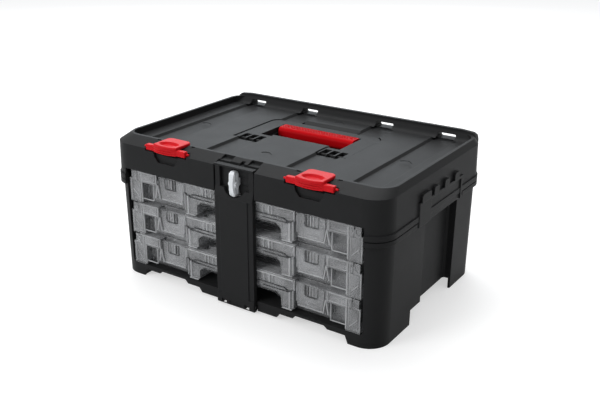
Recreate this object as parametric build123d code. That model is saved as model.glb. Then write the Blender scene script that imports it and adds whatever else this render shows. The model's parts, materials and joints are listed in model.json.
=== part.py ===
from build123d import *
import os
from math import asin, atan, cos, degrees, hypot, pi, sin

# Stackable tool cabinet with three clear organisers, in millimetres.
# X runs to the right along the front, -Y is the front, +Z is up.
# The origin is on the ground below the middle of the casing.

# Organisers and the bays that hold them
organiser_half = 208.0        # half of the width over the runner wings
organiser_height = 52.0
organiser_depth = 305.0
organiser_count = 3
bay_gap = 1.2                 # air above each organiser
side_gap = 4.0                # air beside each organiser
front_setback = 3.5           # organiser fronts behind the casing's front
back_gap = 12.0               # air behind each organiser for its lid hinge
floor_z = 20.0                # upper side of the casing's floor
lintel_gap = 0.4

# Casing
pillar_width = 28.0           # from the bay to the casing's outer side
casing_wall = 3.0
back_wall = 3.5
corner_radius = 33.0
floor_thickness = 3.5
base_draft = 1.8              # how much narrower each side is at the ground
base_inset = 1.2              # step under the hood's side wall
hood_flare = 1.2              # how much wider each hood wall is at its foot
skirt_drop = 18.0             # hood skirt below the lintel at the corners
lintel_height = 39.5          # hood's front wall above the bays
bead_height = 8.0
bead_proud = 1.5
flange_bead_height = 6.5
joint_line = 1.6              # shadow gap between the hood's bead and the base's bead
lip_height = 8.0
lip_thickness = 2.2
seam_clearance = 0.3

# Rim and top panel
rim_rise = 8.5
side_rim_run = 6.0
front_rim_run = 25.0
crest_width = 4.5
panel_drop = 10.5
panel_thickness = 3.0
panel_corner = 20.0
flange_height = 16.5
flange_top = 6.0
flange_run = 7.4
flange_fillet = 16.0
flange_end = 24.0

# Stacking channels in the top panel, each with its slot in the rear flange
channel_width = 43.0
channel_depth = 3.5
channel_slope = 3.5
channel_inner_x = 73.0
channel_outer_x = 183.0
slot_width = 31.0
slot_height = 8.2
slot_rise = 2.4               # slot's lower edge above the channel's floor

# Carrying handle in its well
handle_half = 102.5
handle_thickness = 8.0
handle_drop = 1.0             # handle's top below the panel
handle_gap = 1.6
handle_rear_y = 86.5
handle_corner = 13.0
rear_bar_depth = 17.5
arm_width = 29.0
grip_end_gap = 3.5            # from the grip's end to the frame's arm
grip_depth = 23.0
grip_height = 19.0
grip_rise = 1.0               # grip's top above the handle frame
grip_core_depth = 12.0
well_front_y = 6.7
well_depth = 23.0
tub_wall = 3.0
hinge_y = -20.0
hinge_drop = 5.5              # hinge axis below the panel
hinge_pin_radius = 2.5
hinge_lug_radius = 8.5
hinge_foot_inner = 52.0
hinge_foot_length = 9.0
lug_thickness = 3.0
end_lug_width = 7.6           # outermost lug, flush with the frame's side
lug_count = 4
scoop_half = 53.0
scoop_length = 16.0
scoop_depth = 8.0
running_clearance = 0.05
press_clearance = 0.02

# Flip latches on the front rim
latch_x = 127.0
latch_bar_half = 40.2
latch_bar_side = 5.6          # half of the bar's height
latch_bar_chamfer = 2.2
latch_axis_back = 3.2         # axis behind the hood's front wall
latch_axis_rise = 3.2         # axis above the rim edge
latch_body_half = 23.2
latch_tongue_length = 33.5    # from the axis to the tongue's rear edge
latch_tongue_thickness = 4.2
latch_tongue_rise = 8.0       # tongue's top above the axis
latch_nose_edge = 3.2         # nose's side edges before the axis
latch_nose_reach = 7.7        # middle rib's crown before the axis
latch_nose_foot = 5.2         # nose's foot below the axis
latch_rib_pitch = 4.2
latch_rib_height = 3.0
latch_groove = 1.2
latch_dish_half = 17.0
latch_dish_length = 18.0
latch_dish_depth = 2.0
latch_clearance = 0.8
latch_pivot_radius = 2.5
latch_pivot_length = 2.6
hex_half = 23.0
hex_foot_half = 15.5
hex_height = 18.5
hex_slope = 8.5
hex_depth = 4.0

# Locking bar over the organiser fronts
bar_half = 34.0
bar_front = 3.5               # bar's face before the casing's front
bar_depth = 8.5
bar_skin = 3.0
bar_top_above_rim = 2.5
bar_head_back = 4.5           # head's face behind the bar's face
bar_ramp_foot = 47.5          # ramp's foot below the bar's top
bar_ramp_height = 16.0
bar_panel_half = 25.0
bar_margin_step = 1.2
bar_side_gap = 2.0
bar_hinge_z = 9.0
bar_hinge_back = 1.6          # hinge axis behind the casing's front
bar_pin_radius = 2.0
bar_foot_z = 2.5
bar_foot_chamfer = 1.5
bar_foot_skin = 1.3
bar_lug_radius = 3.4          # hinge lugs on the base
bar_window_inner = 16.0
bar_window_outer = 26.0
bar_window_low = 4.5
bar_window_high = 11.0
bar_oval_half = 12.0
knuckle_gap = 0.5
bar_bed_gap = 0.7
bar_bed_wall = 3.0
head_recess_half = 26.0
head_recess_floor = 3.0
head_groove_height = 2.0
head_groove_depth = 1.0
notch_depth = 13.5
rim_pocket_inner = 15.0       # pockets in the rim behind the bar's head
rim_pocket_depth = 4.5

# Turn knob that holds the locking bar
knob_below_top = 24.7         # knob axis below the bar's top
knob_half = 18.7
knob_width = 10.0
knob_depth = 11.9
knob_float = 1.4              # wing's back clear of the recess floor
knob_clearance = 2.0
knob_end_taper = 2.0          # the wing narrows by this on each side at its ends
knob_stem_radius = 5.0
knob_boss_radius = 4.0
knob_boss_height = 1.6
knob_dimple_depth = 1.6
knob_boss_wall = 6.0
knob_clip_half = 9.0
knob_clip_thickness = 1.6
knob_flat = 3.9               # from the stem's axis to each flat in the clip's groove
knob_stem_overrun = 3.0

# Side catch housings and strap channels
housing_front_y = -66.0
housing_rear_y = 77.0
housing_height = 38.0
housing_drop = 9.0
housing_proud = 3.5
housing_ramp = 4.0
housing_panel_step = 2.0
housing_post_length = 28.0    # tall post at the housing's front
housing_lug_height = 11.0
housing_lug_length = 16.0
housing_lug_pitch = 35.0
housing_lug_chamfer = 3.0
strap_depth = 14.0
strap_front_y = -12.0
strap_rear_y = 69.0
strap_curve = 25.0
strap_foot_z = 8.0
arch_front_y = -66.0
arch_height = 24.0
foot_half_span = 190.0
foot_pad = 3.0
foot_pad_length = 52.0

# Front apron's lower edge, from the middle outwards
apron_low_half = 70.0
apron_low_z = 4.0
apron_mid_half = 98.0
apron_mid_z = 11.0
apron_high_half = 151.0
apron_high_z = 16.4
apron_end_z = 12.0
apron_ramp = 5.0

# Runners
rail_width = 10.5
rail_height = 13.0
rail_round = 9.0
rail_setback = 9.5
rack_plate = 2.5

# Organiser tray, lid and latches
tray_wall = 2.0
tray_height = 34.5
wing_width = 17.5             # runner wing beside the tray
lid_overhang = 4.0
post_width = 5.0
bay_wall_back = 16.0          # latch bay wall behind the organiser's front
recess_wall_back = 36.0       # handle recess wall behind the organiser's front
bay_inner = 99.5
bay_outer = 152.5
handle_back = 3.0             # handle front behind the corner posts
grip_bar_depth = 9.0
grip_bar_z = 22.5
leg_inner = 76.0
leg_outer = 98.0
leg_foot_z = 1.5
leg_round = 8.0
hand_hole_back = 24.5
wing_floor = 2.0
wing_cut_z = 38.0
corner_cut = 12.5
gusset_height = 20.0
bracket_foot = 11.0           # slanting legs beside each latch
bracket_top = 36.5
bracket_spread = 3.6
bracket_thickness = 1.3
divider_thickness = 1.6
divider_clearance = 0.3
divider_rib = 1.5
clasp_x = 126.0
clasp_half = 24.3
clasp_foot_half = 21.5
clasp_z = 12.5
clasp_thickness = 3.4
clasp_axis_drop = 6.0
clasp_axis_back = 8.5
clasp_pin_length = 1.7
clasp_barrel = 2.6
clasp_window_half = 11.0
clasp_window_z = 31.5
clasp_window_step = 1.6
lid_hinge_x = 120.0
lid_lug_width = 9.0
lid_pin_radius = 1.5
lid_knuckle_radius = 3.4
lid_lug_foot = 8.0
lid_panel_x = 118.0           # shallow panels in the lid's top
lid_panel_half = 72.0
lid_panel_length = 200.0
lid_panel_depth = 0.6
screw_radius = 2.0
screw_head_radius = 3.6
screw_head_height = 2.4
screw_length = 9.0
screw_seat = 0.2              # seat behind the plane of the casing's rear
screw_x = 120.0

# Positions that follow from the sizes above
bay_pitch = organiser_height + bay_gap
bay_half = organiser_half + side_gap
hood_half = bay_half + pillar_width
casing_depth = front_setback + organiser_depth + back_gap + back_wall + casing_wall
front_y = -casing_depth / 2
rear_y = casing_depth / 2
organiser_front = front_y + front_setback
bay_rear = organiser_front + organiser_depth + back_gap
tray_half = organiser_half - wing_width
lid_half = tray_half + lid_overhang
lintel_z = floor_z + organiser_count * bay_pitch + lintel_gap
skirt_z = lintel_z - skirt_drop
rim_z = lintel_z + lintel_height
crest_z = rim_z + rim_rise
panel_z = crest_z - panel_drop
flange_z = panel_z + flange_height
handle_top = panel_z - handle_drop
hinge_z = panel_z - hinge_drop
grip_half = handle_half - arm_width - grip_end_gap
latch_axis_y = front_y + latch_axis_back
latch_axis_z = rim_z + latch_axis_rise
latch_bar_reach = hypot(latch_bar_side, latch_bar_side - latch_bar_chamfer)
bar_face = front_y - bar_front
bar_back = bar_face + bar_depth
bar_top = rim_z + bar_top_above_rim
bar_hinge_y = front_y + bar_hinge_back
bar_knuckle_radius = bar_hinge_y - bar_face
bar_sweep = hypot(bar_knuckle_radius - bar_foot_chamfer, bar_hinge_z - bar_foot_z)
bar_bed_rear = bar_hinge_y + bar_sweep + bar_bed_gap
knob_z = bar_top - knob_below_top
notch_back = front_y + notch_depth
head_floor = notch_back - 4.0 - head_recess_floor
well_rear_y = handle_rear_y + handle_gap
recess_front = front_y + front_rim_run + crest_width
recess_rear = rear_y - flange_run - flange_top
recess_half = hood_half - side_rim_run - crest_width


def block(x0, x1, y0, y1, z0, z1):
    return Pos((x0 + x1) / 2, (y0 + y1) / 2, (z0 + z1) / 2) * Box(x1 - x0, y1 - y0, z1 - z0)


def both_sides(solid):
    return solid + mirror(solid, about=Plane.YZ)


def together(solids):
    """One node made of several separate solids."""
    joined = solids[0]
    for solid in solids[1:]:
        joined = joined + solid
    return joined


def plan_prism(points, z0, z1):
    return Pos(0, 0, z0) * extrude(make_face(Polyline(*points, close=True)), amount=z1 - z0)


def side_prism(points, x0, x1):
    """A (y, z) outline drawn along X."""
    return extrude(Plane.YZ.offset(x0) * make_face(Polyline(*points, close=True)), amount=x1 - x0)


def front_prism(points, y0, y1):
    """An (x, z) outline drawn along Y."""
    return extrude(Plane.XZ.offset(-y1) * make_face(Polyline(*points, close=True)), amount=y1 - y0)


def rod_x(x0, x1, y, z, radius):
    return Pos((x0 + x1) / 2, y, z) * Rot(0, 90, 0) * Cylinder(radius, x1 - x0)


def rod_y(x, y0, y1, z, radius):
    return Pos(x, (y0 + y1) / 2, z) * Rot(90, 0, 0) * Cylinder(radius, y1 - y0)


def rounded(half_x, half_y, radius, z, centre_y=0.0):
    return Pos(0, centre_y, z) * RectangleRounded(2 * half_x, 2 * half_y, radius)


def rounded_prism(half_x, half_y, radius, z0, z1, taper=0.0, centre_y=0.0):
    return extrude(rounded(half_x, half_y, radius, z0, centre_y), amount=z1 - z0, taper=taper)


def mirrored_profile(points):
    """The right half of an outline, completed by its mirror image."""
    return list(points) + [(-x, z) for x, z in reversed(points)]


# Hood: the upper casing with its rim, top panel, channels and wells

def hood_body():
    height = rim_z - skirt_z
    taper = degrees(atan(hood_flare / height))
    walls = rounded_prism(hood_half + hood_flare, rear_y + hood_flare, corner_radius + hood_flare,
                          skirt_z, rim_z, taper)
    rear_run = flange_run
    crest_centre = (front_rim_run - rear_run) / 2
    crest_half_y = rear_y - (front_rim_run + rear_run) / 2
    rim = loft([rounded(hood_half, rear_y, corner_radius, rim_z),
                rounded(hood_half - side_rim_run, crest_half_y, corner_radius - side_rim_run,
                        crest_z, crest_centre)], ruled=True)
    proud = hood_flare + bead_proud
    bead = rounded_prism(hood_half + proud, rear_y + proud, corner_radius + proud,
                         skirt_z, skirt_z + bead_height)
    return walls + rim + bead


def hood_hollow():
    half_y = rear_y - casing_wall
    return rounded_prism(hood_half - casing_wall, half_y, corner_radius - casing_wall,
                         skirt_z - 1, panel_z - panel_thickness)


def panel_recess():
    half_y = (recess_rear - recess_front) / 2
    centre_y = (recess_rear + recess_front) / 2
    return rounded_prism(recess_half, half_y, panel_corner, panel_z, flange_z + 5, 0, centre_y)


def rear_flange():
    """Upright flange along the rear rim, with a hollow curve down to the panel."""
    foot_y = recess_rear - flange_fillet
    with BuildPart() as flange:
        with BuildSketch(Plane.YZ.offset(-recess_half)):
            with BuildLine():
                Polyline((foot_y, panel_z), (foot_y, panel_z - panel_thickness),
                         (rear_y, panel_z - panel_thickness), (rear_y, rim_z),
                         (rear_y - flange_run, flange_z), (recess_rear, flange_z),
                         (recess_rear, panel_z + flange_fillet - 1.5))
                ThreePointArc((recess_rear, panel_z + flange_fillet - 1.5),
                              (recess_rear - flange_fillet * 0.29, panel_z + flange_fillet * 0.27),
                              (foot_y, panel_z))
            make_face()
        extrude(amount=2 * recess_half)
    outline = mirrored_profile([(recess_half, panel_z - 10), (recess_half, crest_z),
                                (recess_half - flange_end * 0.2, flange_z - 2.2),
                                (recess_half - flange_end, flange_z)])
    return flange.part & front_prism(outline, foot_y - 1, rear_y + 1)


def channel(centre_x, depth, width, slope, y0, y1):
    top = width / 2
    foot = top - slope
    return front_prism([(centre_x - top, panel_z + 0.01), (centre_x - foot, panel_z - depth),
                        (centre_x + foot, panel_z - depth), (centre_x + top, panel_z + 0.01)], y0, y1)


def stacking_channels():
    """The troughs under the panel, the channels cut in them and the rear slots."""
    troughs = []
    cuts = []
    for centre_x in (-channel_outer_x, -channel_inner_x, channel_inner_x, channel_outer_x):
        troughs.append(block(centre_x - channel_width / 2, centre_x + channel_width / 2,
                             recess_front, recess_rear,
                             panel_z - channel_depth - panel_thickness, panel_z - panel_thickness + 0.5))
        cuts.append(channel(centre_x, channel_depth, channel_width, channel_slope,
                            recess_front, recess_rear - 4))
        slot_foot = panel_z - channel_depth + slot_rise
        slot = block(centre_x - slot_width / 2, centre_x + slot_width / 2,
                     recess_rear - flange_fillet, rear_y + 5, slot_foot, slot_foot + slot_height)
        cuts.append(chamfer(slot.edges().filter_by(Axis.Y), 1.5))
    return troughs, cuts


def handle_tub():
    """Material under the panel that the handle's well is sunk into."""
    tub_half = handle_half + handle_gap + tub_wall
    shelf = block(-tub_half, tub_half, hinge_y - hinge_lug_radius - 3.5 - tub_wall,
                  well_rear_y + tub_wall, hinge_z - hinge_lug_radius - 1.0 - tub_wall, panel_z - 1)
    well_half = handle_half - arm_width + tub_wall + 2.0
    deep = block(-well_half, well_half, well_front_y - tub_wall, well_rear_y + tub_wall,
                 panel_z - well_depth - tub_wall, panel_z - 1)
    return shelf + deep


def handle_well():
    """The sunk seat of the folded handle, its hinge pockets and the finger well."""
    outer = handle_half + handle_gap
    seat_z = handle_top - handle_thickness - 0.5
    seat = block(-outer, outer, hinge_y, well_rear_y, seat_z, panel_z + 1)
    seat = fillet(seat.edges().filter_by(Axis.Z).group_by(Axis.Y)[-1], handle_corner + handle_gap)
    inner = hinge_foot_inner - handle_gap
    foot_rear = hinge_y + hinge_lug_radius + 5.0 + hinge_foot_length
    bridge = block(-inner, inner, hinge_y - 1, foot_rear + handle_gap, seat_z - 5, panel_z + 5)
    ledge_half = handle_half - arm_width - handle_gap
    ledge = block(-ledge_half, ledge_half, foot_rear, well_front_y, seat_z - 5, panel_z + 5)
    cut = seat - bridge - ledge
    pocket_front = hinge_y - hinge_lug_radius - 3.0
    pocket_z = hinge_z - hinge_lug_radius - 1.0
    pocket = block(inner, outer, pocket_front, foot_rear - hinge_foot_length + 1.5, pocket_z, panel_z + 1)
    cut += both_sides(pocket)
    cut += block(-ledge_half, ledge_half, well_front_y, well_rear_y, panel_z - well_depth, panel_z + 1)
    scoop = side_prism([(well_rear_y - 1, panel_z - scoop_depth), (well_rear_y - 1, panel_z + 1),
                        (well_rear_y + scoop_length, panel_z + 1), (well_rear_y + scoop_length, panel_z)],
                       -scoop_half, scoop_half)
    return cut + scoop


def scoop_back():
    """Material behind the finger scoop's sloping floor."""
    return block(-scoop_half - tub_wall, scoop_half + tub_wall, well_rear_y, well_rear_y + scoop_length,
                 panel_z - scoop_depth - tub_wall, panel_z - 1)


def handle_pin_seats():
    """Square seats for the ends of the handle's round pins."""
    inner = hinge_foot_inner - handle_gap
    outer = handle_half + handle_gap
    side = hinge_pin_radius + press_clearance
    return both_sides(block(inner - 4.0, outer + 2.5, hinge_y - side, hinge_y + side,
                            hinge_z - side, hinge_z + side))


def latch_seat(centre_x):
    """Solid backing in the front rim behind one flip latch."""
    outer = latch_bar_half + latch_pivot_length + 2.5
    return (block(centre_x - outer, centre_x + outer, front_y + 0.5, front_y + 17.0,
                  latch_axis_z - latch_bar_side - 6.9, panel_z)
            + block(centre_x - hex_half - 3, centre_x + hex_half + 3, front_y + 0.5,
                    front_y + hex_depth + casing_wall + 1, rim_z - hex_height - 4, panel_z))


def latch_pocket(centre_x):
    """Clearance for one flip latch: bar trench, tongue bed, sockets and the six-sided recess."""
    gap = latch_clearance
    reach = latch_bar_reach + gap / 2
    body_half = latch_body_half + gap
    trench = block(centre_x - latch_bar_half - gap / 2, centre_x + latch_bar_half + gap / 2,
                   front_y - 5, latch_axis_y + reach, latch_axis_z - reach, crest_z + 5)
    nose = rod_x(centre_x - body_half, centre_x + body_half, latch_axis_y, latch_axis_z,
                 hypot(latch_nose_reach, latch_nose_foot) + gap)
    bed_z = latch_axis_z + latch_tongue_rise - latch_tongue_thickness - gap
    bed = block(centre_x - body_half, centre_x + body_half,
                latch_axis_y, latch_axis_y + latch_tongue_length + 3.0, bed_z, crest_z + 5)
    socket_half = latch_bar_half + latch_pivot_length + 0.3
    side = latch_pivot_radius + running_clearance
    sockets = block(centre_x - socket_half, centre_x + socket_half, latch_axis_y - side,
                    latch_axis_y + side, latch_axis_z - side, latch_axis_z + side)
    foot = rim_z - hex_height
    outline = [(centre_x - hex_half, rim_z + 1), (centre_x - hex_half, foot + hex_slope),
               (centre_x - hex_foot_half, foot), (centre_x + hex_foot_half, foot),
               (centre_x + hex_half, foot + hex_slope), (centre_x + hex_half, rim_z + 1)]
    recess = front_prism(outline, front_y - 5, front_y + hex_depth)
    return trench + nose + bed + sockets + recess


def latch_marks(centre_x):
    """Two small moulded slots in the crest beside one flip latch."""
    crest_y = front_y + front_rim_run
    slots = None
    for side in (-1, 1):
        x = centre_x + side * (latch_body_half + 10.0)
        slot = block(x - 3.5, x + 3.5, crest_y - 2.0, crest_y + 1.0, crest_z - 2.5, crest_z + 1)
        slots = slot if slots is None else slots + slot
    return slots


def bar_notch_backing():
    half = bar_half + bar_side_gap + casing_wall
    wall = block(-half, half, front_y + 0.5, notch_back + casing_wall, lintel_z, panel_z)
    boss_half = knob_stem_radius + 5.0
    boss = block(-boss_half, boss_half, notch_back, notch_back + knob_boss_wall,
                 knob_z - boss_half, knob_z + boss_half)
    return wall + boss


def bar_notch():
    half = bar_half + bar_side_gap
    notch = block(-half, half, front_y - 10, notch_back, lintel_z - 5, crest_z + 5)
    bore = rod_y(0, notch_back - 1, notch_back + knob_boss_wall + 5, knob_z,
                 knob_stem_radius + running_clearance)
    pocket = block(rim_pocket_inner, bar_half, notch_back - 1, front_y + front_rim_run + 1,
                   crest_z - rim_pocket_depth, crest_z + 1)
    hole = block(2.0, 8.5, notch_back - 1, notch_back + 6.0, crest_z - 7.0, crest_z + 1)
    return notch + bore + both_sides(pocket) + hole


def housing_lug(y0, y1):
    """One raised lug with bevelled shoulders above the housing's shelf."""
    top = skirt_z + housing_height
    low = top - housing_lug_height - 1
    bevel = housing_lug_chamfer
    return side_prism([(y0, low), (y0, top - bevel), (y0 + bevel, top), (y1 - bevel, top),
                       (y1, top - bevel), (y1, low)], hood_half - 2, hood_half + housing_proud + 1)


def side_housing():
    """Raised catch housing on the right side: a low slab, a tall front post and three lugs."""
    inner = hood_half - 2
    outer = hood_half + housing_proud
    shelf = skirt_z + housing_height - housing_lug_height
    foot = skirt_z - housing_drop
    slab = plan_prism([(inner, housing_front_y - housing_ramp), (outer, housing_front_y),
                       (outer, housing_rear_y), (inner, housing_rear_y + housing_ramp)], foot, shelf)
    post_y = housing_front_y + housing_ramp
    slab -= block(outer - housing_panel_step, outer + 5, post_y + housing_post_length + 4,
                  housing_rear_y - 6, foot - 1, shelf - 4)
    slab += housing_lug(post_y, post_y + housing_post_length)
    first = post_y + housing_post_length + housing_lug_pitch / 2 - housing_lug_length / 2
    for index in range(3):
        y0 = first + index * housing_lug_pitch
        slab += housing_lug(y0, y0 + housing_lug_length)
    below = block(hood_half - 10, hood_half - base_inset + seam_clearance, housing_front_y - 10,
                  housing_rear_y + 10, foot - 1, skirt_z)
    return slab - below


def hood():
    troughs, cuts = stacking_channels()
    solid = hood_body() - hood_hollow()
    for trough in troughs:
        solid += trough
    solid += handle_tub()
    solid += scoop_back()
    for centre_x in (-latch_x, latch_x):
        solid += latch_seat(centre_x)
    solid += bar_notch_backing()
    solid -= panel_recess()
    solid += rear_flange()
    for cut in cuts:
        solid -= cut
    solid -= handle_well()
    solid -= handle_pin_seats()
    for centre_x in (-latch_x, latch_x):
        solid -= latch_pocket(centre_x)
        solid -= latch_marks(centre_x)
    solid -= bar_notch()
    solid -= block(-bay_half, bay_half, front_y - 10, front_y + 25, skirt_z - 5, lintel_z)
    solid += both_sides(side_housing())
    for x, z in screw_places():
        solid -= rod_y(x, rear_y - screw_length, rear_y + 5, z, screw_radius + press_clearance)
        half = screw_head_radius + 0.5
        solid -= block(x - half, x + half, rear_y + screw_seat, rear_y + 9, skirt_z - 1, z + half)
    return solid


# Base: the lower casing with floor, pillars, side channels, feet and bar hinge

def base_outer():
    taper = -degrees(atan(base_draft / skirt_z))
    foot_half = hood_half - base_inset - base_draft
    foot_depth = rear_y - base_inset - base_draft
    return rounded_prism(foot_half, foot_depth, corner_radius, 0, skirt_z, taper)


def base_beads():
    proud = hood_flare + bead_proud
    top = skirt_z - joint_line
    bead = rounded_prism(hood_half + proud, rear_y + proud, corner_radius + proud,
                         top - flange_bead_height, top)
    bead -= both_sides(block(hood_half - base_inset, hood_half + 10,
                             housing_front_y - housing_ramp - seam_clearance,
                             housing_rear_y + housing_ramp + seam_clearance, 0, skirt_z))
    inset = casing_wall + seam_clearance
    lip = rounded_prism(hood_half - inset, rear_y - inset, corner_radius - inset,
                        skirt_z - 12, skirt_z + lip_height)
    return bead, lip


def bay_space():
    space = block(-bay_half, bay_half, front_y - 20, bay_rear, floor_z, skirt_z + lip_height + 5)
    front = space.edges().filter_by(Axis.Y).sort_by(Axis.Z)[:2]
    return fillet(front, side_gap)


def upper_space():
    """The bay widens above the beads, so that only a lip stands inside the hood."""
    inset = casing_wall + seam_clearance + lip_thickness
    return rounded_prism(hood_half - inset, rear_y - inset, corner_radius - inset,
                         skirt_z, skirt_z + lip_height + 1)


def side_pockets():
    """Hollows inside the pillars, open at the ground."""
    outer = hood_half - base_inset - base_draft - casing_wall
    inner = bay_half + casing_wall
    front = block(inner, outer - 3, front_y + base_inset + base_draft + casing_wall + 12,
                  strap_front_y - strap_curve - casing_wall - 8, -1, skirt_z - 14)
    rear = block(inner, outer - 3, strap_rear_y + casing_wall + 8, rear_y - 20, -1, skirt_z - 14)
    return both_sides(front + rear)


def underside():
    inset = base_inset + base_draft + casing_wall + 0.5
    return rounded_prism(hood_half - inset, rear_y - inset, corner_radius - 4, -1,
                         floor_z - floor_thickness)


def strap_channel():
    """Tall channel in the right side wall, with a curved front flank."""
    outer = hood_half + 12
    deep = hood_half - base_inset - strap_depth
    top = skirt_z - joint_line - flange_bead_height
    with BuildPart() as cut:
        with BuildSketch():
            with BuildLine():
                ThreePointArc((hood_half - 1, strap_front_y - strap_curve),
                              (deep + strap_depth * 0.35, strap_front_y - strap_curve * 0.45),
                              (deep, strap_front_y))
                Polyline((deep, strap_front_y), (deep, strap_rear_y), (deep + 3, strap_rear_y + 3),
                         (outer, strap_rear_y + 4), (outer, strap_front_y - strap_curve - 6),
                         (hood_half - 1, strap_front_y - strap_curve))
            make_face()
        extrude(amount=top + 2)
    return Pos(0, 0, -2) * cut.part


def lower_edges():
    """What is cut from the lower edge between the feet, on the sides, front and rear."""
    side_inner = bay_half + casing_wall
    arch = block(side_inner - 8, hood_half + 10, arch_front_y, strap_front_y - 2, -1, arch_height)
    strap = block(side_inner - 8, hood_half + 10, strap_front_y - 3, strap_rear_y + 3, -1, strap_foot_z)
    cut = both_sides(arch + strap)
    ramp = apron_ramp
    half = [(apron_low_half, apron_low_z), (apron_low_half + ramp, apron_mid_z),
            (apron_mid_half, apron_mid_z), (apron_mid_half + ramp, apron_high_z),
            (apron_high_half, apron_high_z), (apron_high_half + ramp, apron_end_z),
            (foot_half_span - ramp, apron_end_z), (foot_half_span, -1)]
    outline = [(-x, z) for x, z in reversed(half)] + half
    cut += front_prism(outline, front_y - 10, front_y + 12)
    rear_half = foot_half_span - ramp
    cut += front_prism([(-foot_half_span, -1), (-rear_half, apron_end_z),
                        (rear_half, apron_end_z), (foot_half_span, -1)], rear_y - 12, rear_y + 10)
    return cut


def foot_pads():
    inset = base_inset + base_draft + 1.0
    outer = hood_half - inset - 1.0
    front = block(foot_half_span + 1, outer, front_y + inset + 10, front_y + inset + foot_pad_length,
                  0, foot_pad)
    rear = block(foot_half_span + 1, outer, rear_y - inset - foot_pad_length, rear_y - inset - 10,
                 0, foot_pad)
    walls = (block(foot_half_span + 1, foot_half_span + 1 + casing_wall, front_y + inset + 1.5,
                   front_y + inset + foot_pad_length, 0, floor_z - 1)
             + block(foot_half_span + 1, foot_half_span + 1 + casing_wall,
                     rear_y - inset - foot_pad_length, rear_y - inset - 1.5, 0, floor_z - 1))
    return both_sides(front + rear + walls) & base_outer()


def bar_hinge_lugs():
    """Two lugs for the locking bar's pin, standing out from the wall behind its foot."""
    x0 = bar_window_inner + knuckle_gap
    x1 = bar_window_outer - knuckle_gap
    r = bar_lug_radius
    angles = [pi / 2 + index * pi / 4 for index in range(5)]
    nose = [(bar_hinge_y + r * cos(a), bar_hinge_z + r * sin(a)) for a in angles]
    lug = side_prism([(bar_bed_rear + 1, bar_hinge_z + r)] + nose + [(bar_bed_rear + 1, bar_hinge_z - r)],
                     x0, x1)
    return both_sides(lug)


def bar_bed():
    """The apron is cut away where the bar's foot swings."""
    half = bar_half + bar_side_gap
    return block(-half, half, front_y - 10, bar_bed_rear, -1, floor_z + 0.01)


def bar_bed_backing():
    half = bar_half + bar_side_gap + bar_bed_wall
    return block(-half, half, front_y + base_inset + base_draft, bar_bed_rear + bar_bed_wall,
                 apron_low_z, floor_z - 0.5)


def base_shell():
    bead, lip = base_beads()
    solid = base_outer() + bead + lip
    solid -= bay_space()
    solid -= upper_space()
    solid -= side_pockets()
    solid -= underside()
    solid += foot_pads()
    solid -= both_sides(strap_channel())
    solid -= lower_edges()
    solid += bar_bed_backing()
    solid -= bar_bed()
    solid += bar_hinge_lugs()
    solid -= rod_x(-bar_half, bar_half, bar_hinge_y, bar_hinge_z, bar_pin_radius + press_clearance)
    solid -= block(-bay_half, bay_half, front_y - 20, front_y + 25, skirt_z - 0.01, lintel_z)
    for x, z in screw_places():
        solid -= rod_y(x, rear_y - screw_length, rear_y + 9, z, screw_radius + press_clearance)
    return solid


def screw_places():
    z = skirt_z + lip_height / 2 + 0.3
    return [(-screw_x, z), (screw_x, z)]


def hood_screws():
    """Six-sided screws through the hood's rear skirt into the base's lip."""
    seat = rear_y + screw_seat
    screws = []
    for x, z in screw_places():
        shank = rod_y(x, seat - screw_length, seat, z, screw_radius)
        corners = [(x + screw_head_radius * cos(index * pi / 3), z + screw_head_radius * sin(index * pi / 3))
                   for index in range(6)]
        screws.append(shank + front_prism(corners, seat, seat + screw_head_height))
    return together(screws)


# Runner racks that carry the organisers' wings

def runner_rack():
    """The right rack: a plate against the pillar with three ledges."""
    front = organiser_front + rail_setback
    rear = bay_rear - 1.0
    plate = block(bay_half - rack_plate, bay_half, front, rear, floor_z + side_gap + 1, lintel_z - 2.0)
    rack = plate
    for index in range(organiser_count):
        top = floor_z + (index + 1) * bay_pitch
        if index == organiser_count - 1:
            top = lintel_z - 2.0
        inner = bay_half - rail_width
        rail = block(inner, bay_half - rack_plate + 0.1, front, rear, top - rail_height, top)
        corner = rail.edges().filter_by(Axis.Y).group_by(Axis.Z)[0].sort_by(Axis.X)[0]
        rack = rack + fillet(corner, rail_round * 0.85)
    return rack


# Locking bar, its hinge pin and the turn knob

def bar_outline():
    """Side view of the locking bar, from its foot up to the ridge over its head."""
    ramp_foot = bar_top - bar_ramp_foot
    ramp_top = ramp_foot + bar_ramp_height
    head_face = bar_face + bar_head_back
    head_rear = head_floor + head_recess_floor
    r = bar_knuckle_radius
    return [(bar_face + bar_foot_chamfer, bar_foot_z), (bar_face, bar_foot_z + bar_foot_chamfer),
            (bar_face, ramp_foot), (head_face, ramp_top), (head_face, bar_top - 4),
            (head_face - 1.5, bar_top - 2.5), (head_face - 1.5, bar_top), (head_rear, bar_top),
            (head_rear, lintel_z + 0.4), (bar_back, lintel_z - 0.6), (bar_back, bar_hinge_z + r),
            (bar_hinge_y + r, bar_hinge_z + r * 0.4), (bar_hinge_y + r, bar_hinge_z - r * 0.4),
            (bar_hinge_y + r * 0.4, bar_foot_z)]


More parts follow.
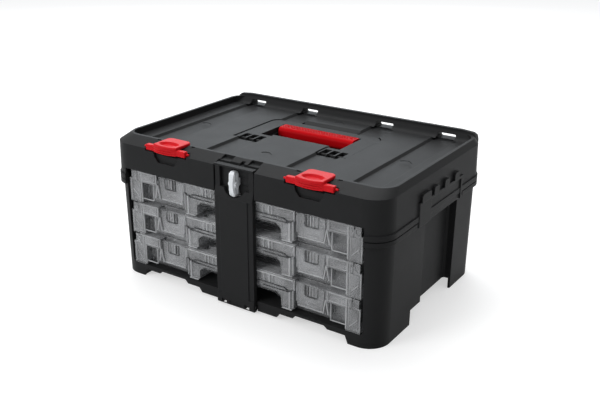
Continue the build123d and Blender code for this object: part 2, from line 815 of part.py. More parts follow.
def bar_head_recess():
    """Pocket for the turned knob, and the slot that passes over its wing."""
    recess_top = bar_top - 2.5
    recess_foot = bar_top - bar_ramp_foot + bar_ramp_height - 2.0
    front = bar_face - 5
    pocket = block(-head_recess_half, head_recess_half, front, head_floor, recess_foot, recess_top)
    sweep = rod_y(0, front, head_floor, knob_z, knob_half + knob_clearance)
    sweep &= block(-bar_half, bar_half, front, head_floor, recess_foot - bar_ramp_foot, recess_top)
    slot_half = knob_width / 2 + knob_clearance
    slot = block(-slot_half, slot_half, head_floor - 1, head_floor + head_recess_floor + 5,
                 knob_z - knob_half - 1.0, recess_top)
    cut = pocket + sweep + slot
    for z in (knob_z - 2.5, knob_z + 9.0):
        cut += block(slot_half + 2, head_recess_half - 3, head_floor - 0.1, head_floor + head_groove_depth,
                     z, z + head_groove_height)
    return cut


def bar_foot_openings():
    """Gaps for the hinge lugs, with the small windows in front of them."""
    gap = block(bar_window_inner, bar_window_outer, bar_face + bar_foot_skin, bar_bed_rear, 0,
                bar_hinge_z + bar_lug_radius + knuckle_gap)
    window = block(bar_window_inner + 0.7, bar_window_outer - 0.7, bar_face - 1, bar_face + bar_foot_skin + 1,
                   bar_window_low, bar_window_high)
    mid_z = (bar_window_low + bar_window_high) / 2
    corner = bar_oval_half - 2.0
    oval = front_prism([(bar_oval_half, mid_z), (corner, bar_window_high), (-corner, bar_window_high),
                        (-bar_oval_half, mid_z), (-corner, bar_window_low), (corner, bar_window_low)],
                       bar_face - 1, bar_face + 1.2)
    return both_sides(gap + window) + oval


def locking_bar():
    """The whole bar with its head."""
    ramp_foot = bar_top - bar_ramp_foot
    bar = side_prism(bar_outline(), -bar_half, bar_half)
    hollow_z = bar_hinge_z + 2 * bar_knuckle_radius
    bar -= both_sides(block(bar_panel_half, bar_half + 1, bar_face - 1, bar_face + bar_margin_step,
                            hollow_z, ramp_foot))
    hollow_top = ramp_foot - 6
    bar -= block(-bar_half + bar_skin, bar_half - bar_skin, bar_face + bar_margin_step + bar_skin,
                 bar_back + 5, hollow_z, hollow_top)
    for index in range(3):
        rib_z = hollow_z + (index + 1) * (hollow_top - hollow_z) / 4
        bar += block(-bar_half + 1, bar_half - 1, bar_face + bar_margin_step + 1, bar_back,
                     rib_z - 1, rib_z + 1)
    bar -= bar_head_recess()
    bar -= bar_foot_openings()
    bar -= rod_x(-bar_half - 1, bar_half + 1, bar_hinge_y, bar_hinge_z, bar_pin_radius + running_clearance)
    return bar


def cut_at_head(bar):
    """The bar's long lower part and its head, which is welded on at the foot of the ramp."""
    seam = Plane.XY.offset(bar_top - bar_ramp_foot)
    return split(bar, bisect_by=seam, keep=Keep.BOTTOM), split(bar, bisect_by=seam, keep=Keep.TOP)


def bar_hinge_pin():
    return rod_x(-bar_half + 0.5, bar_half - 0.5, bar_hinge_y, bar_hinge_z, bar_pin_radius)


def knob_wing():
    """Wing with a bowed front, hollowed flanks and a small boss on each flank."""
    rear = head_floor - knob_float
    face = rear - knob_depth
    end = knob_half
    half = knob_width / 2
    with BuildPart() as made:
        with BuildSketch(Plane.YZ.offset(-half)):
            with BuildLine():
                Polyline((face + 1.6, knob_z - end + 4), (face + 4.5, knob_z - end), (rear - 2, knob_z - end),
                         (rear, knob_z - end + 2), (rear, knob_z + end - 2), (rear - 2, knob_z + end),
                         (face + 4.5, knob_z + end), (face + 1.6, knob_z + end - 4))
                ThreePointArc((face + 1.6, knob_z + end - 4), (face, knob_z),
                              (face + 1.6, knob_z - end + 4))
            make_face()
        extrude(amount=knob_width)
    plan = [(-half, rear + 1), (half, rear + 1), (half, face + 3.5), (half - 2, face - 1),
            (2 - half, face - 1), (-half, face + 3.5)]
    shoulder = end - 2 * knob_end_taper
    tip = half - knob_end_taper
    outline = [(half, knob_z - shoulder), (half, knob_z + shoulder), (tip, knob_z + end),
               (-tip, knob_z + end), (-half, knob_z + shoulder), (-half, knob_z - shoulder),
               (-tip, knob_z - end), (tip, knob_z - end)]
    wing = made.part & plan_prism(plan, knob_z - end - 1, knob_z + end + 1)
    wing &= front_prism(outline, face - 1, rear + 1)
    for end_z in (-1, 1):
        near = knob_z + end_z * (knob_boss_radius + 1.0)
        far = knob_z + end_z * (end - 3.5)
        dimple = side_prism([(face + 4.5, near), (rear - 2.5, near), (rear - 2.5, far), (face + 6.5, far)],
                            half - knob_dimple_depth, half + 1)
        wing -= both_sides(dimple)
    middle = (face + rear) / 2
    boss = [(middle + knob_boss_radius * cos(index * pi / 4 + pi / 8),
             knob_z + knob_boss_radius * sin(index * pi / 4 + pi / 8)) for index in range(8)]
    return wing + side_prism(boss, -half - knob_boss_height, half + knob_boss_height)


def turn_knob():
    """The wing on its round stem, which has two flats behind the hood's wall for the clip."""
    stem_end = notch_back + knob_boss_wall + knob_stem_overrun
    stem = rod_y(0, head_floor - knob_float - 2, stem_end, knob_z, knob_stem_radius)
    groove_y = notch_back + knob_boss_wall + 0.4
    flat = block(knob_flat, knob_stem_radius + 1, groove_y, groove_y + knob_clip_thickness + 0.1,
                 knob_z - knob_stem_radius - 1, knob_z + knob_stem_radius + 1)
    return knob_wing() + stem - both_sides(flat)


def knob_clip():
    """Horseshoe plate on the stem's flats behind the hood's wall."""
    y = notch_back + knob_boss_wall + 0.45
    slot = knob_flat + running_clearance
    low = knob_z - knob_clip_half + 2
    high = knob_z + knob_clip_half
    plate = block(-knob_clip_half, knob_clip_half, y, y + knob_clip_thickness, low, high)
    return plate - block(-slot, slot, y - 1, y + 5, low - 1, knob_z + knob_stem_radius + running_clearance)


# Carrying handle

def handle_lug(x0, x1, bored):
    """One hinge lug under the handle's foot: bored for the pin, or only notched round it."""
    foot_front = hinge_y + hinge_lug_radius + 5.0
    r = hinge_lug_radius
    start = pi - asin((handle_top - hinge_z) / r)
    angles = [start, pi, 1.25 * pi, 1.5 * pi]
    nose = [(hinge_y + r * cos(a), hinge_z + r * sin(a)) for a in angles]
    lug = side_prism([(foot_front + 1, handle_top)] + nose + [(foot_front + 1, hinge_z - r + 2)], x0, x1)
    if bored:
        return lug - rod_x(x0 - 1, x1 + 1, hinge_y, hinge_z, hinge_pin_radius + running_clearance)
    side = hinge_pin_radius + 0.4
    return lug - block(x0 - 1, x1 + 1, hinge_y - side, hinge_y + side, hinge_z - r - 1, hinge_z + side)


def handle_frame():
    z0 = handle_top - handle_thickness
    foot_front = hinge_y + hinge_lug_radius + 5.0
    foot_rear = foot_front + hinge_foot_length
    plate = block(-handle_half, handle_half, foot_front, handle_rear_y, z0, handle_top)
    plate = fillet(plate.edges().filter_by(Axis.Z).group_by(Axis.Y)[-1], handle_corner)
    window = block(-handle_half + arm_width, handle_half - arm_width, foot_front - 1,
                   handle_rear_y - rear_bar_depth, z0 - 1, handle_top + 1)
    frame = plate - window
    inner_foot = block(hinge_foot_inner, handle_half - arm_width + 1, foot_front,
                       foot_rear - 0.6, z0, handle_top)
    frame += both_sides(inner_foot)
    lug_pitch = (handle_half - end_lug_width - hinge_foot_inner) / (lug_count - 1)
    for index in range(lug_count):
        x0 = hinge_foot_inner + index * lug_pitch
        last = index == lug_count - 1
        x1 = handle_half if last else x0 + lug_thickness
        frame += both_sides(handle_lug(x0, x1, last or index == 0))
    grip_rear = handle_rear_y - rear_bar_depth
    core_z = handle_top - 2.0
    core_y = grip_rear - (grip_depth - grip_core_depth) / 2
    core = block(-handle_half + arm_width - 1, handle_half - arm_width + 1, core_y - grip_core_depth, core_y,
                 z0, core_z)
    frame += core
    for x in (-grip_half * 0.5, grip_half * 0.5):
        frame += block(x - 3, x + 3, core_y - 1, grip_rear + 1, z0, core_z)
    return frame


def handle_grip():
    """Moulded grip round the frame's core."""
    grip_rear = handle_rear_y - rear_bar_depth - 0.2
    top = handle_top + grip_rise
    core_z = handle_top - 2.0
    core_foot = handle_top - handle_thickness
    core_y = handle_rear_y - rear_bar_depth - (grip_depth - grip_core_depth) / 2
    grip = block(-grip_half, grip_half, grip_rear - grip_depth, grip_rear, top - grip_height, top)
    front = grip.edges().filter_by(Axis.X).group_by(Axis.Y)[0]
    grip = fillet(front, 7.0)
    grip = fillet(grip.edges().filter_by(Axis.X).group_by(Axis.Y)[-1], 2.5)
    grip -= block(-grip_half - 1, grip_half + 1, core_y - grip_core_depth, core_y, core_foot, core_z)
    for x in (-grip_half * 0.5, grip_half * 0.5):
        grip -= block(x - 3, x + 3, core_y - 1, grip_rear + 1, core_foot, core_z)
    return grip


def handle_pins():
    inner = hinge_foot_inner - handle_gap - 3.6
    outer = handle_half + handle_gap + 2.2
    pin = rod_x(inner, outer, hinge_y, hinge_z, hinge_pin_radius)
    return both_sides(pin)


# Flip latches

def nose_layer(reach, z0, z1):
    """One curved layer of the latch's nose, as wide as its body."""
    y = latch_axis_y
    half = latch_body_half
    edge = y - latch_nose_edge
    with BuildPart() as made:
        with BuildSketch(Plane.XY.offset(z0)):
            with BuildLine():
                Polyline((half, edge), (half, y), (-half, y), (-half, edge))
                ThreePointArc((-half, edge), (0, y - reach), (half, edge))
            make_face()
        extrude(amount=z1 - z0)
    return made.part


def latch_dish(top):
    """Lens-shaped thumb dish in the tongue's top."""
    front = latch_axis_y - latch_nose_edge
    middle = front + latch_dish_length * 0.5
    ends = latch_dish_half
    with BuildPart() as made:
        with BuildSketch(Plane.XY.offset(top - latch_dish_depth)):
            with BuildLine():
                ThreePointArc((-ends, middle), (0, front), (ends, middle))
                ThreePointArc((ends, middle), (0, front + latch_dish_length), (-ends, middle))
            make_face()
        extrude(amount=latch_dish_depth + 1)
    return made.part


def flip_latch(centre_x):
    """Flip latch: dished tongue, ribbed nose and the cross bar with its pivots."""
    y = latch_axis_y
    z = latch_axis_z
    top = z + latch_tongue_rise
    under = top - latch_tongue_thickness
    rear = y + latch_tongue_length
    edge = y - latch_nose_edge
    body = side_prism([(edge, top), (rear - 2.5, top), (rear, top - 1.8), (rear, under + 0.3),
                       (y + 7.4, under), (y + 4.0, z - latch_nose_foot + 1),
                       (edge, z - latch_nose_foot + 1)], -latch_body_half, latch_body_half)
    body += nose_layer(latch_nose_reach - latch_groove, z - latch_nose_foot + 1, top)
    for index in range(3):
        layer_top = top - index * latch_rib_pitch
        reach = latch_nose_reach - 0.8 if index != 1 else latch_nose_reach
        body += nose_layer(reach, layer_top - latch_rib_height, layer_top)
    body -= latch_dish(top)
    side = latch_bar_side
    near = side - latch_bar_chamfer
    bar = side_prism([(y - side, z - near), (y - near, z - side), (y + near, z - side), (y + side, z - near),
                      (y + side, z + near), (y + near, z + side), (y - near, z + side),
                      (y - side, z + near)], -latch_bar_half, latch_bar_half)
    pivot = rod_x(-latch_bar_half - latch_pivot_length, latch_bar_half + latch_pivot_length, y, z,
                  latch_pivot_radius)
    return Pos(centre_x, 0, 0) * (body + bar + pivot)


# Organisers

def tray_outline():
    """Plan of the tray's outer wall: corner posts, latch bays and the handle recess."""
    front = organiser_front + 2.0
    bay = organiser_front + bay_wall_back
    recess = organiser_front + recess_wall_back
    rear = organiser_front + organiser_depth
    inner = tray_half - post_width
    half = [(tray_half, rear), (tray_half, front), (inner, front), (inner, bay), (leg_outer + 2, bay),
            (leg_outer + 2, recess)]
    return half + [(-x, y) for x, y in reversed(half)]


def tray_inner():
    bay = organiser_front + bay_wall_back + tray_wall
    recess = organiser_front + recess_wall_back + tray_wall
    rear = organiser_front + organiser_depth - tray_wall
    side = tray_half - tray_wall
    half = [(side, rear), (side, bay), (leg_outer + 2 + tray_wall, bay), (leg_outer + 2 + tray_wall, recess)]
    return half + [(-x, y) for x, y in reversed(half)]


def tray_wing(z):
    """Runner wing on the right: floor, corner panel with its cut-out, gussets."""
    front = organiser_front
    rear = organiser_front + organiser_depth
    floor = block(tray_half - 1, organiser_half, front, rear, z, z + wing_floor)
    inner = tray_half - post_width
    cut_x = organiser_half - corner_cut
    with BuildPart() as panel:
        with BuildSketch(Plane.XZ.offset(-front - 2.0)):
            with BuildLine():
                Polyline((cut_x + 1.3, z + wing_cut_z + 8), (lid_half + 0.6, z + wing_cut_z + 8),
                         (lid_half + 0.6, z + tray_height), (inner, z + tray_height), (inner, z),
                         (organiser_half - 2.5, z), (organiser_half, z + 2.5),
                         (organiser_half, z + wing_cut_z))
                ThreePointArc((organiser_half, z + wing_cut_z),
                              (organiser_half - corner_cut * 0.72, z + wing_cut_z + 2.2),
                              (cut_x + 1.3, z + wing_cut_z + 8))
            make_face()
        extrude(amount=2.0)
    wing = floor + panel.part
    for fraction in (0.3, 0.55, 0.8):
        y = front + organiser_depth * fraction
        wing += block(tray_half - 1, organiser_half - 1.5, y - 1, y + 1, z, z + gusset_height)
    brace = Pos((tray_half + organiser_half) / 2 + 0.5, front + 1.6, z + 14) * Rot(0, -45, 0)
    wing += brace * Box(15.0, 2.6, 1.6)
    return wing


def tray_handle(z):
    """Lower half of the hand grip with its two hollow legs."""
    front = organiser_front + handle_back
    back = front + grip_bar_depth
    bay = organiser_front + bay_wall_back
    recess = organiser_front + recess_wall_back
    top = z + tray_height
    with BuildPart() as face:
        with BuildSketch(Plane.XZ.offset(-front - tray_wall)):
            with BuildLine():
                Polyline((-leg_outer, top), (-leg_outer, z + leg_foot_z + 4),
                         (-leg_outer + 4, z + leg_foot_z),
                         (-leg_inner - 4, z + leg_foot_z), (-leg_inner, z + leg_foot_z + 4),
                         (-leg_inner, z + grip_bar_z - leg_round))
                ThreePointArc((-leg_inner, z + grip_bar_z - leg_round),
                              (-leg_inner + leg_round * 0.293, z + grip_bar_z - leg_round * 0.293),
                              (-leg_inner + leg_round, z + grip_bar_z))
                Line((-leg_inner + leg_round, z + grip_bar_z), (leg_inner - leg_round, z + grip_bar_z))
                ThreePointArc((leg_inner - leg_round, z + grip_bar_z),
                              (leg_inner - leg_round * 0.293, z + grip_bar_z - leg_round * 0.293),
                              (leg_inner, z + grip_bar_z - leg_round))
                Polyline((leg_inner, z + grip_bar_z - leg_round), (leg_inner, z + leg_foot_z + 4),
                         (leg_inner + 4, z + leg_foot_z), (leg_outer - 4, z + leg_foot_z),
                         (leg_outer, z + leg_foot_z + 4), (leg_outer, top), (-leg_outer, top))
            make_face()
        extrude(amount=tray_wall)
    handle = face.part
    bar_half_length = leg_inner - leg_round + 1
    handle += block(-bar_half_length, bar_half_length, front, back,
                    z + grip_bar_z, z + grip_bar_z + tray_wall)
    handle += block(-leg_inner, leg_inner, back - tray_wall, back, z + grip_bar_z, top)
    leg = block(leg_inner, leg_inner + tray_wall, front, recess + 1, z + leg_foot_z + 4, top)
    leg += block(leg_outer - tray_wall, leg_outer, front, bay + 1, z + leg_foot_z + 4, top)
    leg += block(leg_outer - tray_wall, leg_outer + 3, bay, bay + tray_wall, z, top)
    leg += block(leg_inner, leg_outer, front, recess + 1, z + leg_foot_z + 3, z + leg_foot_z + 5)
    return handle + both_sides(leg)


def divider_places():
    return [-tray_half / 2, 0.0, tray_half / 2]


def latch_bracket(z):
    """Slanting pair of legs on the tray beside the right latch."""
    apex = bay_outer + 1.2
    half = bracket_thickness / 2
    front = organiser_front + handle_back + 1.0
    back = organiser_front + bay_wall_back + 1.0
    legs = None
    for side in (-1, 1):
        foot = apex + side * bracket_spread
        leg = front_prism([(foot - half, z + bracket_foot), (foot + half, z + bracket_foot),
                           (apex + half, z + bracket_top), (apex - half, z + bracket_top)], front, back)
        legs = leg if legs is None else legs + leg
    return legs & block(0, organiser_half, front, back, z, z + tray_height)


def divider_ribs(z):
    """Pairs of small ribs at the front and rear that hold the dividers."""
    recess = organiser_front + recess_wall_back + tray_wall
    rear = organiser_front + organiser_depth - tray_wall
    gap = divider_thickness / 2 + divider_clearance
    ribs = []
    for x in divider_places():
        front = recess if abs(x) < leg_outer else organiser_front + bay_wall_back + tray_wall
        for side in (-1, 1):
            x0 = x + side * (gap + divider_rib / 2) - divider_rib / 2
            ribs.append(block(x0, x0 + divider_rib, front - 0.5, front + 3, z + 1, z + tray_height - 3))
            ribs.append(block(x0, x0 + divider_rib, rear - 3, rear + 0.5, z + 1, z + tray_height - 3))
    return together(ribs)


def tray(z):
    body = plan_prism(tray_outline(), z, z + tray_height)
    body -= plan_prism(tray_inner(), z + tray_wall, z + tray_height + 1)
    rim = block(tray_half - 1, lid_half, organiser_front + 2.2, organiser_front + organiser_depth,
                z + tray_height - 2.0, z + tray_height)
    catch = block(bay_inner + 5, bay_outer - 3, organiser_front + bay_wall_back - 3.0,
                  organiser_front + bay_wall_back + 1, z + 24, z + 27)
    body += both_sides(rim + tray_wing(z) + catch + latch_bracket(z))
    body += tray_handle(z)
    body += divider_ribs(z)
    lug = hinge_lug(lid_hinge_x, z + tray_height, 1)
    side = lid_pin_radius + running_clearance
    lug -= block(lid_hinge_x - 1, lid_hinge_x + lid_lug_width + 1, lid_hinge_y() - side,
                 lid_hinge_y() + side, z + tray_height - side, z + organiser_height)
    return body + both_sides(lug)


def lid_hinge_y():
    return organiser_front + organiser_depth + lid_knuckle_radius + 0.6


def hinge_lug(x0, axis_z, up):
    """A hinge lug on the right at the rear, held from below (up 1) or from above (up -1)."""
    y = lid_hinge_y()
    r = lid_knuckle_radius
    near = r * 0.4
    rear = organiser_front + organiser_depth
    outline = [(rear - 1, -0.2), (y - r, -0.2), (y - r, near), (y - near, r), (y + near, r), (y + r, near),
               (y + r, -near), (y + near, -r), (rear - 1, -lid_lug_foot)]
    return side_prism([(py, axis_z + up * pz) for py, pz in outline], x0, x0 + lid_lug_width)


def lid_pins(z):
    """One long rod through the lugs on both sides."""
    reach = lid_hinge_x + 2 * lid_lug_width
    return rod_x(-reach, reach, lid_hinge_y(), z + tray_height, lid_pin_radius)


def lid_outline(inset):
    """Plan of the lid: front strips, latch bays and the handle strip."""
    front = organiser_front + inset
    bay = organiser_front + bay_wall_back - 1.0 + inset
    grip = organiser_front + handle_back + inset
    rear = organiser_front + organiser_depth + 0.4 - inset
    side = lid_half - inset
    half = [(side, rear), (side, front), (bay_outer + inset, front), (bay_outer + inset, bay),
            (bay_inner - inset, bay), (bay_inner - inset, grip)]
    return half + [(-x, y) for x, y in reversed(half)]


def lid(z):
    low = z + tray_height
    top = z + organiser_height
    body = plan_prism(lid_outline(0), low, top)
    body -= plan_prism(lid_outline(tray_wall), low - 1, top - tray_wall)
    grip = organiser_front + handle_back
    hole_rear = organiser_front + hand_hole_back
    hole_half = leg_inner - 2.0
    body += block(-hole_half - tray_wall, hole_half + tray_wall, grip + grip_bar_depth - tray_wall,
                  hole_rear + tray_wall, low, top - 0.5)
    body -= block(-hole_half, hole_half, grip + grip_bar_depth, hole_rear, low - 1, top + 1)
    body -= both_sides(block(lid_panel_x - lid_panel_half, lid_panel_x + lid_panel_half,
                             -lid_panel_length / 2 + hand_hole_back, lid_panel_length / 2 + hand_hole_back,
                             top - lid_panel_depth, top + 1))
    for edge in (bay_inner - tray_wall, bay_outer):
        body += both_sides(block(edge, edge + tray_wall, grip, organiser_front + bay_wall_back, low, top))
    axis_z = top - clasp_axis_drop
    axis_y = organiser_front + clasp_axis_back
    reach = clasp_half + clasp_pin_length + 0.4
    side = clasp_barrel + running_clearance
    body -= both_sides(block(clasp_x - reach, clasp_x + reach, axis_y - side, axis_y + side,
                             axis_z - side, axis_z + side))
    x0 = lid_hinge_x + lid_lug_width + knuckle_gap
    lug = hinge_lug(x0, low, -1)
    side = lid_pin_radius + running_clearance
    lug -= block(x0 - 1, x0 + lid_lug_width + 1, lid_hinge_y() - side,
                 lid_hinge_y() + lid_knuckle_radius + 1, low - side, low + side)
    return body + both_sides(lug)


def clasp_barrel_rod(axis_y, axis_z, reach):
    """Barrel with a round top, and flats below where it never bears."""
    def point(eighths):
        angle = (eighths + 0.5) * pi / 4
        return axis_y + clasp_barrel * cos(angle), axis_z + clasp_barrel * sin(angle)

    with BuildPart() as made:
        with BuildSketch(Plane.YZ.offset(-reach)):
            with BuildLine():
                ThreePointArc(point(0), point(1.5), point(3))
                Polyline(*[point(index) for index in range(3, 9)])
            make_face()
        extrude(amount=2 * reach)
    return made.part


def clasp(z, centre_x):
    """Organiser latch: a barrel, a plate with a stepped window, and a hook."""
    axis_z = z + organiser_height - clasp_axis_drop
    axis_y = organiser_front + clasp_axis_back
    face = organiser_front + handle_back
    back = face + clasp_thickness
    outline = [(-clasp_foot_half, z + clasp_z), (clasp_foot_half, z + clasp_z), (clasp_half, axis_z - 6),
               (clasp_half, axis_z + clasp_barrel), (-clasp_half, axis_z + clasp_barrel),
               (-clasp_half, axis_z - 6)]
    plate = front_prism(outline, face, back)
    reach = clasp_half + clasp_pin_length
    barrel = clasp_barrel_rod(axis_y, axis_z, reach)
    neck = block(-clasp_half, clasp_half, back - 1, axis_y, axis_z - clasp_barrel * 0.6,
                 axis_z + clasp_barrel * 0.6)
    window = block(-clasp_window_half, clasp_window_half, face - 1, face + clasp_window_step,
                   z + clasp_window_z, axis_z + clasp_barrel + 1)
    hook_y = organiser_front + bay_wall_back - 1.5
    arm = block(-8, 8, face + 1, hook_y, z + 17, z + 20)
    hook = block(-8, 8, hook_y - 2, hook_y, z + 17, z + 22.6)
    return Pos(centre_x, 0, 0) * (plate + barrel + neck - window + arm + hook)


def dividers(z):
    rear = organiser_front + organiser_depth - tray_wall
    plates = []
    for x in divider_places():
        front = organiser_front + bay_wall_back + tray_wall
        if abs(x) < leg_outer:
            front = organiser_front + recess_wall_back + tray_wall
        plates.append(block(x - divider_thickness / 2, x + divider_thickness / 2, front + 0.3, rear - 0.3,
                            z + tray_wall, z + tray_height - 1.5))
    return together(plates)


def parts():
    rack = runner_rack()
    bar, head = cut_at_head(locking_bar())
    made = {
        "base_shell": base_shell(),
        "hood": hood(),
        "hood_screws": hood_screws(),
        "runner_right": rack,
        "runner_left": mirror(rack, about=Plane.YZ),
        "locking_bar": bar,
        "bar_head": head,
        "bar_hinge_pin": bar_hinge_pin(),
        "turn_knob": turn_knob(),
        "knob_clip": knob_clip(),
        "handle_frame": handle_frame(),
        "handle_grip": handle_grip(),
        "handle_pins": handle_pins(),
        "flip_latch_left": flip_latch(-latch_x),
        "flip_latch_right": flip_latch(latch_x),
    }
    for index in range(organiser_count):
        z = floor_z + index * bay_pitch
        number = str(index + 1)
        made["tray_" + number] = tray(z)
        made["lid_" + number] = lid(z)
        made["lid_pins_" + number] = lid_pins(z)
        made["dividers_" + number] = dividers(z)
        made["clasp_left_" + number] = clasp(z, -clasp_x)
        made["clasp_right_" + number] = clasp(z, clasp_x)
    return made


front_reach = head_floor - knob_float - knob_depth
rear_reach = rear_y + hood_flare + bead_proud
to_origin = Pos(0, -(front_reach + rear_reach) / 2, 0)

os.makedirs("parts", exist_ok=True)
for name, solid in parts().items():
    solid = to_origin * solid
    export_step(solid, "parts/" + name + ".step")
    box = solid.bounding_box()
    print(name, len(solid.solids()), round(solid.volume), [round(v, 1) for v in (*box.min, *box.max)])
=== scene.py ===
import bpy
import bmesh
import json
import math
from mathutils import Matrix, Vector


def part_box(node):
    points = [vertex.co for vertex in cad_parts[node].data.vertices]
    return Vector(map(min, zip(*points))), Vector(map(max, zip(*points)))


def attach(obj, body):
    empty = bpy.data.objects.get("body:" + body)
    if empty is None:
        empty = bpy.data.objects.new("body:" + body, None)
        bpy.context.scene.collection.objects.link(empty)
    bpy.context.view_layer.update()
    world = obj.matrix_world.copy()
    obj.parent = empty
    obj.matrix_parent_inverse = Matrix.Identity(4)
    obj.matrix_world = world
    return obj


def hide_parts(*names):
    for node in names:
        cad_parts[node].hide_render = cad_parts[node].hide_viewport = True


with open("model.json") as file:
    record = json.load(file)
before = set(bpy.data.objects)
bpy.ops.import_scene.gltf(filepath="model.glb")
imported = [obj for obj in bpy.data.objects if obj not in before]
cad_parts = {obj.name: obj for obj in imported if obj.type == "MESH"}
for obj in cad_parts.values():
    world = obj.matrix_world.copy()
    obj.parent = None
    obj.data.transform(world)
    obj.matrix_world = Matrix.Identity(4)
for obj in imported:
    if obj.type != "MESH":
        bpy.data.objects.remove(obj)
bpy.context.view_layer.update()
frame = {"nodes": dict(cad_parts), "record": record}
nodes = frame["nodes"]
mm = 0.001
print("frame loaded:", len(nodes), "nodes")


# Shader maths written as Python expressions on sockets
class Sock:
    def __init__(self, shader, socket):
        self.shader = shader
        self.socket = socket

    def _math(self, operation, first, second):
        made = self.shader.node("ShaderNodeMath", {"operation": operation}, {0: first, 1: second})
        return made["Value"]

    def __add__(self, other):
        return self._math("ADD", self, other)

    def __radd__(self, other):
        return self._math("ADD", other, self)

    def __sub__(self, other):
        return self._math("SUBTRACT", self, other)

    def __rsub__(self, other):
        return self._math("SUBTRACT", other, self)

    def __mul__(self, other):
        return self._math("MULTIPLY", self, other)

    def __rmul__(self, other):
        return self._math("MULTIPLY", other, self)

    def largest(self, other):
        return self._math("MAXIMUM", self, other)

    def smallest(self, other):
        return self._math("MINIMUM", self, other)

    def clamped(self):
        return self.largest(0.0).smallest(1.0)


class Outputs:
    def __init__(self, shader, made):
        self.shader = shader
        self.made = made

    def __getitem__(self, name):
        return Sock(self.shader, self.made.outputs[name])


class Shader:
    def __init__(self, name, world=False):
        self.made = (bpy.data.worlds if world else bpy.data.materials).new(name)
        self.made.use_nodes = True
        self.tree = self.made.node_tree
        self.tree.nodes.clear()
        self.out = self.tree.nodes.new("ShaderNodeOutputWorld" if world else "ShaderNodeOutputMaterial")

    def node(self, kind, settings=None, values=None):
        made = self.tree.nodes.new(kind)
        for key, value in (settings or {}).items():
            setattr(made, key, value)
        for key, value in (values or {}).items():
            self.put(made, key, value)
        return Outputs(self, made)

    def put(self, made, key, value):
        if isinstance(value, Sock):
            self.tree.links.new(value.socket, made.inputs[key])
        else:
            made.inputs[key].default_value = value

    def place(self):
        return self.node("ShaderNodeTexCoord")["Object"]

    def axes(self, vector):
        split = self.node("ShaderNodeSeparateXYZ", {}, {"Vector": vector})
        return split["X"], split["Y"], split["Z"]

    def noise(self, scale, detail, roughness):
        values = {"Scale": scale, "Detail": detail, "Roughness": roughness, "Vector": self.place()}
        return self.node("ShaderNodeTexNoise", {}, values)["Fac"]

    def mixColour(self, factor, low, high):
        made = self.node("ShaderNodeMix", {"data_type": "RGBA"}, {0: factor, 6: low, 7: high})
        return Sock(self, made.made.outputs[2])

    def softened(self, radius):
        return self.node("ShaderNodeBevel", {"samples": 6}, {"Radius": radius})["Normal"]

    def edgeShare(self, softNormal, gain):
        flat = self.node("ShaderNodeNewGeometry")["Normal"]
        product = self.node("ShaderNodeVectorMath", {"operation": "DOT_PRODUCT"}, {0: softNormal, 1: flat})
        return ((1.0 - product["Value"]) * gain).clamped()

    def bumped(self, look, height, normal):
        values = {"Strength": look["bump"], "Distance": look["bumpDepth"], "Height": height, "Normal": normal}
        return self.node("ShaderNodeBump", {}, values)["Normal"]

    def finish(self, surface):
        self.tree.links.new(surface.socket, self.out.inputs["Surface"])
        return self.made


def rgba(colour):
    return (*colour, 1.0)


# Moulded plastic: spark-eroded grain, uneven gloss, and a painted highlight that lightens the colour along
# every edge
mottleShare = 0.6             # of the tone, the rest is grain
casingLook = {
    "dark": (0.0148, 0.0151, 0.0156),
    "light": (0.0236, 0.0241, 0.0249),
    "worn": (0.046, 0.048, 0.052),
    "wornShare": 0.55,
    "grain": 1500.0,          # grains per metre
    "mottle": 22.0,
    "roughLow": 0.40,
    "roughHigh": 0.52,
    "bump": 0.22,
    "bumpDepth": 0.00012,
    "edge": 0.0009,
    "edgeGain": 3.0,
    "specular": 0.05,
}

redLook = {
    "dark": (0.39, 0.0022, 0.0045),
    "light": (0.50, 0.0036, 0.007),
    "worn": (0.84, 0.030, 0.034),
    "wornShare": 0.5,
    "grain": 900.0,
    "mottle": 30.0,
    "roughLow": 0.36,
    "roughHigh": 0.48,
    "bump": 0.10,
    "bumpDepth": 0.0001,
    "edge": 0.0006,
    "edgeGain": 2.2,
    "specular": 0.025,
}

knobLook = {
    "dark": (0.66, 0.69, 0.72),
    "light": (0.78, 0.81, 0.84),
    "worn": (0.88, 0.90, 0.93),
    "wornShare": 0.5,
    "grain": 1100.0,
    "mottle": 40.0,
    "roughLow": 0.32,
    "roughHigh": 0.44,
    "bump": 0.12,
    "bumpDepth": 0.0001,
    "edge": 0.0007,
    "edgeGain": 3.0,
    "specular": 0.4,
}


def mouldedPlastic(name, look):
    shader = Shader(name)
    grain = shader.noise(look["grain"], 2.0, 0.6)
    mottle = shader.noise(look["mottle"], 3.0, 0.55)
    soft = shader.softened(look["edge"])
    tone = mottle * mottleShare + grain * (1.0 - mottleShare)
    plain = shader.mixColour(tone, rgba(look["dark"]), rgba(look["light"]))
    # Painted highlight: the colour is lightened along the edges, hollow ones as well as outer ones, by how far
    # the softened normal leaves the flat one
    worn = shader.edgeShare(soft, look["edgeGain"]) * look["wornShare"]
    rough = mottle * (look["roughHigh"] - look["roughLow"]) + look["roughLow"]
    body = shader.node("ShaderNodeBsdfPrincipled", {}, {
        "Base Color": shader.mixColour(worn, plain, rgba(look["worn"])), "Roughness": rough,
        "Normal": shader.bumped(look, grain, soft), "IOR": 1.49, "Specular IOR Level": look["specular"],
        "Alpha": look.get("alpha", 1.0)})
    return shader.finish(body["BSDF"])
